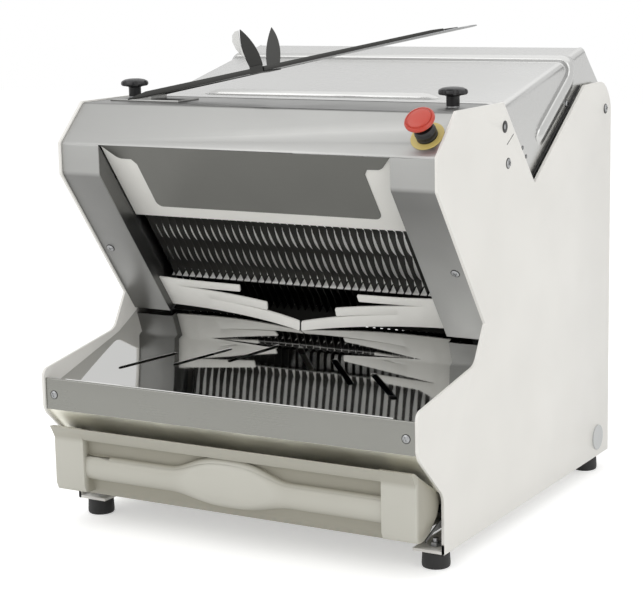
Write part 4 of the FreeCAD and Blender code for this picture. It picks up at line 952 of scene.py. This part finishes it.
def make_stop():
    """The mushroom button with its ring, the ribbed collar and the yellow disc."""
    box_low, box_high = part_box("stop_disc")
    foot = (box_low + box_high) / 2 - SLOPE_NORMAL * 0.55 * MM
    head = turned("stop_button_skin", [
        (0, 0), (12.5, 0), (14, 0.8), (15.2, 3.2), (19.4, 6), (20.4, 7.6), (20.5, 9.4),
        (19.8, 11), (17.8, 12.2), (17.1, 11.3), (16.3, 11.3), (15.7, 12.7), (14.2, 13.2),
        (8, 13.9), (0, 14)], foot + SLOPE_NORMAL * 23 * MM, SLOPE_NORMAL, 64)
    dress(soften(head, 0, angle=60), "red_plastic", body="stop_head", nodes=["stop_button"])
    collar = turned("stop_collar_skin", [
        (8, 0), (14.5, 0), (14.5, 3), (13.9, 3.6), (13.9, 6.2), (14.5, 6.8), (14.5, 9.6),
        (13.7, 10.4), (13.7, 15.6), (13, 16.8), (8.2, 16.9), (8, 16.6)],
        foot + SLOPE_NORMAL * 1.1 * MM, SLOPE_NORMAL, 56)
    dress(close_ring(collar), "black_plastic", nodes=["stop_collar"])
    disc = turned("stop_disc_skin", [(11.9, 0.05), (22.6, 0.05), (23, 0.4), (22.6, 0.95),
                                     (11.9, 0.95)], foot, SLOPE_NORMAL, 64)
    dress(close_ring(disc), "yellow_plastic", nodes=["stop_disc"])


# ---------------------------------------------------------------- blades
BLADE_FRONT, BLADE_WIDE_FRONT, BLADE_BACK = 31, 30, 45.6
BLADE_PITCH, BLADE_THICKNESS = 24, 0.6


def blade_outline(sizes, low, high, hook):
    """(d, s) corners of a blade from low to high, scalloped behind and wider in front
    below the guard. Its hook runs from start to end and reaches a bar ahead or behind."""
    node, run, marks_per_wave = 24.5, sizes.wave_run, 8
    start, end, reach = hook
    wide_foot, wide_top, bevel = -60, 122, 2

    def edge(s):
        share = (s - node) / run % 1
        return BLADE_BACK - sizes.wave_depth * (1 - (2 * share - 1) ** 2)

    first, gap = node - math.ceil((node - low) / run) * run, run / marks_per_wave
    marks = [first + n * gap for n in range(math.ceil((high - first) / gap))]
    behind = [(edge(s), s) for s in [low, *(s for s in marks if s > low + 1), high]]
    ahead = [(BLADE_FRONT, high), (BLADE_FRONT, wide_top + bevel),
             (BLADE_WIDE_FRONT, wide_top), (BLADE_WIDE_FRONT, wide_foot),
             (BLADE_FRONT, wide_foot - bevel)]
    if reach > BLADE_BACK:
        behind = [spot for spot in behind if not start - 2 < spot[1] < end + 2]
        behind[-1:-1] = [(edge(start), start), (reach, start), (reach, end), (edge(end), end)]
    else:
        ahead += [(BLADE_FRONT, end), (reach, end), (reach, start), (BLADE_FRONT, start)]
    return behind + ahead + [(BLADE_FRONT, low)]


def make_blades(sizes):
    """Two sets of scalloped blades that stand between each other."""
    for word, low, high, hook, first, count in (
            ("front", -97, 244, (-95, -85, 30), -216, 19),
            ("rear", -129, 217, (205, 215, 47), -204, 18)):
        outline = [in_throat(first - BLADE_THICKNESS / 2, d, s)
                   for d, s in blade_outline(sizes, low, high, hook)]
        blade = plate("blade", outline, RIGHT * BLADE_THICKNESS * MM)
        copies = [copy_of(blade, "blade", Matrix.Translation(
            RIGHT * number * BLADE_PITCH * MM)) for number in range(1, count)]
        dress(soften(join(f"{word}_blades_skin", blade, *copies), 0), "blade_steel",
              body=f"{word}_blade_set", nodes=[f"{word}_blades"])


# ---------------------------------------------------------------- bagging tray
TRAY_SLOPE = math.radians(11.04)
TRAY_NEAR, TRAY_FAR = 158, 202
TRAY_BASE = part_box("bagging_tray")[0].z / MM
CURL_LEAN = math.radians(20)


def on_tray(u, y, w):
    """A point of the leaning channel: u along it, w above its floor."""
    return at(-244.7 + u * math.cos(TRAY_SLOPE) - w * math.sin(TRAY_SLOPE), y,
              TRAY_BASE + 2 + u * math.sin(TRAY_SLOPE) + w * math.cos(TRAY_SLOPE))


def make_tray_channel():
    """The channel's floor with its round tip, and its two tapered flanges."""
    round_start, radius = 531, (TRAY_FAR - TRAY_NEAR) / 2
    floor = [on_tray(2, TRAY_NEAR, 0), on_tray(round_start, TRAY_NEAR, 0)]
    for step in range(1, 12):
        turn = math.pi * step / 12
        floor.append(on_tray(round_start + radius * math.sin(turn),
                             TRAY_NEAR + radius - radius * math.cos(turn), 0))
    floor += [on_tray(round_start, TRAY_FAR, 0), on_tray(2, TRAY_FAR, 0)]
    up = on_tray(0, TRAY_NEAR, 1) - on_tray(0, TRAY_NEAR, 0)
    tongue = plate("tray_floor_skin", floor, up * 1.2)
    dress(soften(tongue, 0.35), "zinc_steel")
    outline = [(0, -0.4), (0, 1.4), (34, 6.5), (500, 5.4), (517, 4.2), (517, 1),
               (60, -1.6), (32, -2)]
    flanges = [plate("flange", [on_tray(u, y, w) for u, w in outline], BACK * 1.2 * MM)
               for y in (TRAY_NEAR - 0.1, TRAY_FAR - 1.1)]
    dress(soften(join("tray_flanges", *flanges), 0.3), "tray_reflection_sheet", nodes=["bagging_tray"])


def make_holder_curl():
    """The curled ear of the bag holder, leaning forward from the channel."""
    start = on_tray(215, 156.9, 7.5)
    run = on_tray(1, 0, 0) - on_tray(0, 0, 0)
    up = on_tray(0, TRAY_NEAR, 1) - on_tray(0, TRAY_NEAR, 0)
    rise = up * math.cos(CURL_LEAN) - BACK * MM * math.sin(CURL_LEAN)
    curl = [(-0.6, 14), (-5, 20), (-9, 30), (-10, 41), (-7, 50), (-1, 55), (5.5, 55.5),
            (3, 48), (0.2, 36), (-0.8, 24)]
    lobe = plate("bag_holder_curl", [start + run * a + rise * b - BACK * 0.02 * a * a * MM
                                     for a, b in curl], BACK * 0.8 * MM)
    dress(soften(lobe, 0.25), "lid_sheet", body="holder")


def make_tray_foot():
    """The flat foot that the left knob clamps, with the wedge that carries the channel."""
    low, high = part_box("star_knob_left")
    knob = (low + high) / 2
    base = TRAY_BASE * MM
    foot = block("tray_foot", Vector((knob.x - 18 * MM, at(0, TRAY_NEAR, 0).y, base)),
                 Vector((-157 * MM, knob.y + 16 * MM, base + 3 * MM)))
    carve(foot, drill(Vector((knob.x, knob.y, base)), 5.2, -9, 9))
    wedge = plate("wedge", [
        at(-236, 160, TRAY_BASE + 1), at(-205, 160, TRAY_BASE + 1), on_tray(40, 160, 0.3),
        on_tray(4, 160, 0.3)], BACK * 40 * MM)
    dress(soften(join("tray_foot", foot, wedge), 0.5), "brushed_sheet")


def make_tray():
    """A shallow channel with tapered flanges, rising to the right from its foot."""
    make_tray_channel()
    make_holder_curl()
    make_tray_foot()


# ---------------------------------------------------------------- feet and fixings
def make_feet():
    """Four turned rubber feet."""
    shape = [(0, 0), (17.2, 0), (18.6, 0.8), (19.3, 2.4), (19.5, 6), (18.6, 22),
             (17.8, 24.4), (5, 24.4), (4.2, 23.6), (0, 23.6)]
    feet = [turned("foot", shape, at(x, y, 0)) for x in (FOOT_X, -FOOT_X) for y in FEET_Y]
    dress(soften(join("feet_skin", *feet), 0, angle=40), "black_rubber", nodes=["feet"])


def make_casing_screws():
    """Pan heads on the panels, columns and fascia, their washers and the panels' slits."""
    screws, rings = [], []
    for x in (1, -1):
        out, column, fascia = RIGHT * x, in_throat(x * 281, 0, 92), at(x * 281.5, 3, 197.5)
        upper, rear = at(x * PANEL_OUTER, 279, 521), at(x * PANEL_OUTER, 640.4, 567.5)
        screws += [cross_screw(upper, out, 6.4, 2.3), cross_screw(rear, out, 5.6, 2.4),
                   cross_screw(column, -THROAT_BACK, 5.6, 2.2),
                   cross_screw(fascia, -BACK, 5.4, 1.9)]
        rings += [ring(upper, out, 7.6), ring(at(x * PANEL_OUTER, 640.4, 566.6), out, 7.6),
                  ring(at(x * PANEL_OUTER, HINGE_Y, HINGE_Z), out, 8.4),
                  ring(column, -THROAT_BACK, 6.6), ring(fascia, -BACK, 6.4)]
        rings.append(plate("slit", profile(x * 299.9, [
            (297.3, 559), (296.7, 560), (274.4, 547.3), (275, 546.3)]), out * 0.25 * MM))
    dress(join("casing_screws_skin", *screws), "zinc_steel", nodes=["casing_screws"])
    dress(join("screw_washers", *rings), "dark_steel")


def make_lid_screws():
    """Small pan heads on the lid's side walls, with their washers."""
    screws, rings = [], []
    for x in (1, -1):
        for y, z, radius in ((509, 584, 4.4), (350, 535, 2), (362, 521.5, 2)):
            spot = at(x * LID_HALF, y, z)
            screws.append(cross_screw(spot, RIGHT * x, radius, radius * 0.4))
            rings.append(ring(spot, RIGHT * x, radius + 1))
    dress(join("lid_screws_skin", *screws), "zinc_steel", body="lid", nodes=["lid_screws"])
    dress(join("lid_screw_washers", *rings), "dark_steel", body="lid")


def ring(spot, out, radius):
    """A thin dark washer that lies under a screw's head."""
    bore = radius * 0.45
    washer = turned("washer", [(bore, -0.3), (radius, -0.3), (radius, 0.25),
                               (radius * 0.97, 0.4), (bore, 0.4), (bore, -0.3)],
                    spot, out, 32)
    return soften(washer, 0, angle=35)


def cross_screw(spot, out, radius, height):
    """A pan head with a cross recess."""
    head = turned("screw", [
        (0, -1), (radius * 0.9, -1), (radius, 0.1), (radius, height * 0.35),
        (radius * 0.86, height * 0.75), (radius * 0.5, height * 0.97), (0, height)],
        Vector(), steps=28)
    long, narrow = radius * 0.6, radius * 0.13
    for turn in (20, 110):
        slot = block("slot", Vector((-long, -narrow, height * 0.45)) * MM,
                     Vector((long, narrow, height + 1)) * MM)
        slot.data.transform(Matrix.Rotation(math.radians(turn), 4, "Z"))
        carve(head, slot)
    return soften(stand(head, spot, out), 0, angle=35)


# ---------------------------------------------------------------- stage
# Each lamp's place and width in metres and its power in watts.
LAMPS = {"key": ((-1.6, -2.4, 2.6), 3.6, 42), "fill": ((2.6, -1.2, 1.4), 2.6, 18),
         "top": ((0.2, 0.6, 3.0), 4.0, 22)}
LAMP_AIM = Vector((0, 0, 0.3))
FLOOR_GLOW, SURROUND_LIGHT, SURROUND_SEEN = 0.45, 0.62, 1.0
VIEW_TURN, VIEW_RISE, VIEW_ROLL = (math.radians(a) for a in (29.8859, 10.7096, -1.1205))
VIEW_CENTRE, VIEW_REACH = at(0, 300, 300), 2.6929


def seen_directly(tree):
    """One for what the eye sees straight on, in a mirror or through glass, else nought."""
    path = add(tree, "ShaderNodeLightPath").outputs
    seen = worked(tree, "MAXIMUM", path["Is Camera Ray"], path["Is Glossy Ray"])
    return worked(tree, "MAXIMUM", seen, path["Is Transmission Ray"])


def lay_floor():
    """A pale floor that keeps the shadow and glows a little where it is seen."""
    floor = new_piece("floor", bpy.ops.mesh.primitive_plane_add, size=14)
    material, tree, shader = new_material("Pale floor", {
        "Base Color": (0.86, 0.86, 0.85, 1), "Roughness": 0.9, "Emission Color": (1, 1, 1, 1)})
    feed(tree, shader["Emission Strength"],
         worked(tree, "MULTIPLY", seen_directly(tree), FLOOR_GLOW))
    floor.data.materials.append(material)


def make_surround():
    """White where it is seen, dimmer as a light."""
    world = bpy.data.worlds.new("Surround")
    bpy.context.scene.world = world
    world.use_nodes = True
    tree = world.node_tree
    tree.nodes.clear()
    strength = add(tree, "ShaderNodeMix", {
        "A": SURROUND_LIGHT, "B": SURROUND_SEEN, "Factor": seen_directly(tree)},
        data_type="FLOAT")
    back = add(tree, "ShaderNodeBackground", {
        "Color": (1, 1, 1, 1), "Strength": strength.outputs["Result"]})
    add(tree, "ShaderNodeOutputWorld", {"Surface": back.outputs[0]})


def hang_lamps():
    """Soft square lamps that all look at the machine."""
    for name, (spot, size, power) in LAMPS.items():
        lamp = bpy.data.lights.new(name, "AREA")
        lamp.energy, lamp.size = power, size
        holder = bpy.data.objects.new(name, lamp)
        bpy.context.scene.collection.objects.link(holder)
        holder.location = spot
        holder.rotation_euler = (LAMP_AIM - Vector(spot)).to_track_quat("-Z", "Y").to_euler()


def place_camera():
    """A long lens from the front and the right, a little above the machine's middle."""
    eye = bpy.data.cameras.new("view")
    camera = bpy.data.objects.new("view", eye)
    bpy.context.scene.collection.objects.link(camera)
    eye.sensor_width, eye.lens = 36, 102.156
    eye.shift_x, eye.shift_y = -0.0099, 0.00517
    eye.clip_end = 50
    back = Vector((math.sin(VIEW_TURN) * math.cos(VIEW_RISE),
                   -math.cos(VIEW_TURN) * math.cos(VIEW_RISE), math.sin(VIEW_RISE)))
    across = Vector((math.cos(VIEW_TURN), math.sin(VIEW_TURN), 0))
    upward = back.cross(across)
    right = across * math.cos(VIEW_ROLL) + upward * math.sin(VIEW_ROLL)
    up = upward * math.cos(VIEW_ROLL) - across * math.sin(VIEW_ROLL)
    axes = Matrix((right, up, back)).transposed().to_4x4()
    camera.matrix_world = Matrix.Translation(VIEW_CENTRE + back * VIEW_REACH) @ axes
    bpy.context.scene.camera = camera


def make_stage():
    """A plain pale floor, soft lamps, a white surround and the camera."""
    lay_floor()
    make_surround()
    hang_lamps()
    place_camera()
    bpy.context.scene.view_settings.view_transform = "Standard"


# The hopper's sides and floor and the bread rest comb take the dark finish as painted shade of
# the throat's inside.
NODE_FINISHES = {"bag_holder": "tray_reflection_sheet", "pusher_plate": "pusher_painted_sheet",
                 "hopper_sides": "dark_steel", "bread_rest_comb": "dark_steel",
                 "hopper_floor": "dark_steel"}


def dress_solids():
    """Gives every solid that still shows the finish of its slot."""
    slots = {part["node"]: part["material_slot"] for part in frame["record"]["subparts"]}
    for name, solid in frame["nodes"].items():
        solid.data.materials.clear()
        solid.data.materials.append(FINISHES[NODE_FINISHES.get(name, slots[name])]())


# ---------------------------------------------------------------- add-on
class SlicerSizes(bpy.types.PropertyGroup):
    """Sizes that a user would change."""
    edge: bpy.props.FloatProperty(
        name="Panel edge", description="Width of the side panels' broken edge, in millimetres",
        default=0.6, min=0.1, max=1.5)
    wave_run: bpy.props.FloatProperty(
        name="Scallop length", description="Length of one wave of a blade, in millimetres",
        default=45.7, min=10, max=90)
    wave_depth: bpy.props.FloatProperty(
        name="Scallop depth", description="Depth of one wave of a blade, in millimetres",
        default=7.2, min=0, max=10)


def tint(name, description, default):
    return bpy.props.FloatVectorProperty(
        name=name, description=description, subtype="COLOR", size=3, min=0, max=1,
        default=default)


class SlicerFinishes(bpy.types.PropertyGroup):
    """Colours that a user would change."""
    paint: tint("Paint", "Powder coat of the side panels", (0.84, 0.825, 0.785))
    sheet: tint("Sheet", "Brushed stainless sheet", (0.385, 0.385, 0.375))
    polished: tint("Polished sheet", "Mirror polished stainless sheet", (0.54, 0.54, 0.53))
    # The blades' near-black default is painted shade of the throat.
    blade: tint("Blades", "Ground steel of the blades", (0.05, 0.048, 0.045))
    plastic: tint("White plastic", "Finger guides and guard", (0.84, 0.83, 0.79))
    drawer: tint("Drawer", "Moulded crumb drawer", (0.56, 0.55, 0.49))
    stop: tint("Stop button", "Emergency stop button", (0.50, 0.034, 0.012))
    disc: tint("Stop disc", "Disc round the emergency stop", (0.62, 0.50, 0.16))


class SLICER_OT_side_panels(bpy.types.Operator):
    """Model the painted side panels"""
    bl_idname = "slicer.side_panels"
    bl_label = "Side panels"

    def execute(self, context):
        make_side_panels(context.scene.slicer_sizes)
        return {"FINISHED"}


class SLICER_OT_hood(bpy.types.Operator):
    """Model the folded front hood"""
    bl_idname = "slicer.hood"
    bl_label = "Front hood"

    def execute(self, context):
        make_hood()
        return {"FINISHED"}


class SLICER_OT_deflector(bpy.types.Operator):
    """Model the deflector and its guard"""
    bl_idname = "slicer.deflector"
    bl_label = "Deflector and guard"

    def execute(self, context):
        make_deflector()
        return {"FINISHED"}


class SLICER_OT_finger_guides(bpy.types.Operator):
    """Model the white finger guides"""
    bl_idname = "slicer.finger_guides"
    bl_label = "Finger guides"

    def execute(self, context):
        make_finger_guides()
        return {"FINISHED"}


class SLICER_OT_table(bpy.types.Operator):
    """Model the outfeed table, the fascia and the chute"""
    bl_idname = "slicer.table"
    bl_label = "Outfeed table"

    def execute(self, context):
        make_table()
        return {"FINISHED"}


class SLICER_OT_lid(bpy.types.Operator):
    """Model the lid with its pressed beads"""
    bl_idname = "slicer.lid"
    bl_label = "Lid"

    def execute(self, context):
        make_lid()
        return {"FINISHED"}


class SLICER_OT_drawer(bpy.types.Operator):
    """Model the moulded crumb drawer"""
    bl_idname = "slicer.drawer"
    bl_label = "Crumb drawer"

    def execute(self, context):
        make_drawer()
        return {"FINISHED"}


class SLICER_OT_knobs(bpy.types.Operator):
    """Model the two star knobs"""
    bl_idname = "slicer.knobs"
    bl_label = "Star knobs"

    def execute(self, context):
        make_knobs()
        return {"FINISHED"}


class SLICER_OT_stop(bpy.types.Operator):
    """Model the emergency stop"""
    bl_idname = "slicer.stop"
    bl_label = "Emergency stop"

    def execute(self, context):
        make_stop()
        return {"FINISHED"}


class SLICER_OT_blades(bpy.types.Operator):
    """Model the two sets of blades"""
    bl_idname = "slicer.blades"
    bl_label = "Blades"

    def execute(self, context):
        make_blades(context.scene.slicer_sizes)
        return {"FINISHED"}


class SLICER_OT_tray(bpy.types.Operator):
    """Model the bagging tray"""
    bl_idname = "slicer.tray"
    bl_label = "Bagging tray"

    def execute(self, context):
        make_tray()
        return {"FINISHED"}


class SLICER_OT_fixings(bpy.types.Operator):
    """Model the feet and the screws"""
    bl_idname = "slicer.fixings"
    bl_label = "Feet and screws"

    def execute(self, context):
        make_feet()
        make_casing_screws()
        make_lid_screws()
        return {"FINISHED"}


class SLICER_OT_solids(bpy.types.Operator):
    """Give the machine's other solids their finish"""
    bl_idname = "slicer.solids"
    bl_label = "Finish the solids"

    def execute(self, context):
        dress_solids()
        return {"FINISHED"}


class SLICER_OT_stage(bpy.types.Operator):
    """Set up the floor, the lamps and the camera"""
    bl_idname = "slicer.stage"
    bl_label = "Stage"

    def execute(self, context):
        make_stage()
        return {"FINISHED"}


OPERATORS = (SLICER_OT_side_panels, SLICER_OT_hood, SLICER_OT_deflector,
             SLICER_OT_finger_guides, SLICER_OT_table, SLICER_OT_lid, SLICER_OT_drawer,
             SLICER_OT_knobs, SLICER_OT_stop, SLICER_OT_blades, SLICER_OT_tray,
             SLICER_OT_fixings, SLICER_OT_solids, SLICER_OT_stage)


class SLICER_PT_pieces(bpy.types.Panel):
    """Lists the slicer's pieces"""
    bl_label = "Bread slicer"
    bl_space_type = "VIEW_3D"
    bl_region_type = "UI"
    bl_category = "Slicer"

    def draw(self, context):
        for kind in OPERATORS:
            self.layout.operator(kind.bl_idname)


CLASSES = (SlicerSizes, SlicerFinishes, *OPERATORS, SLICER_PT_pieces)


def register():
    for kind in CLASSES:
        bpy.utils.register_class(kind)
    bpy.types.Scene.slicer_sizes = bpy.props.PointerProperty(type=SlicerSizes)
    bpy.types.Scene.slicer_finishes = bpy.props.PointerProperty(type=SlicerFinishes)


def unregister():
    del bpy.types.Scene.slicer_sizes
    del bpy.types.Scene.slicer_finishes
    for kind in reversed(CLASSES):
        bpy.utils.unregister_class(kind)


def main():
    register()
    for kind in OPERATORS:
        group, name = kind.bl_idname.split(".")
        getattr(getattr(bpy.ops, group), name)()


if __name__ == "__main__":
    main()
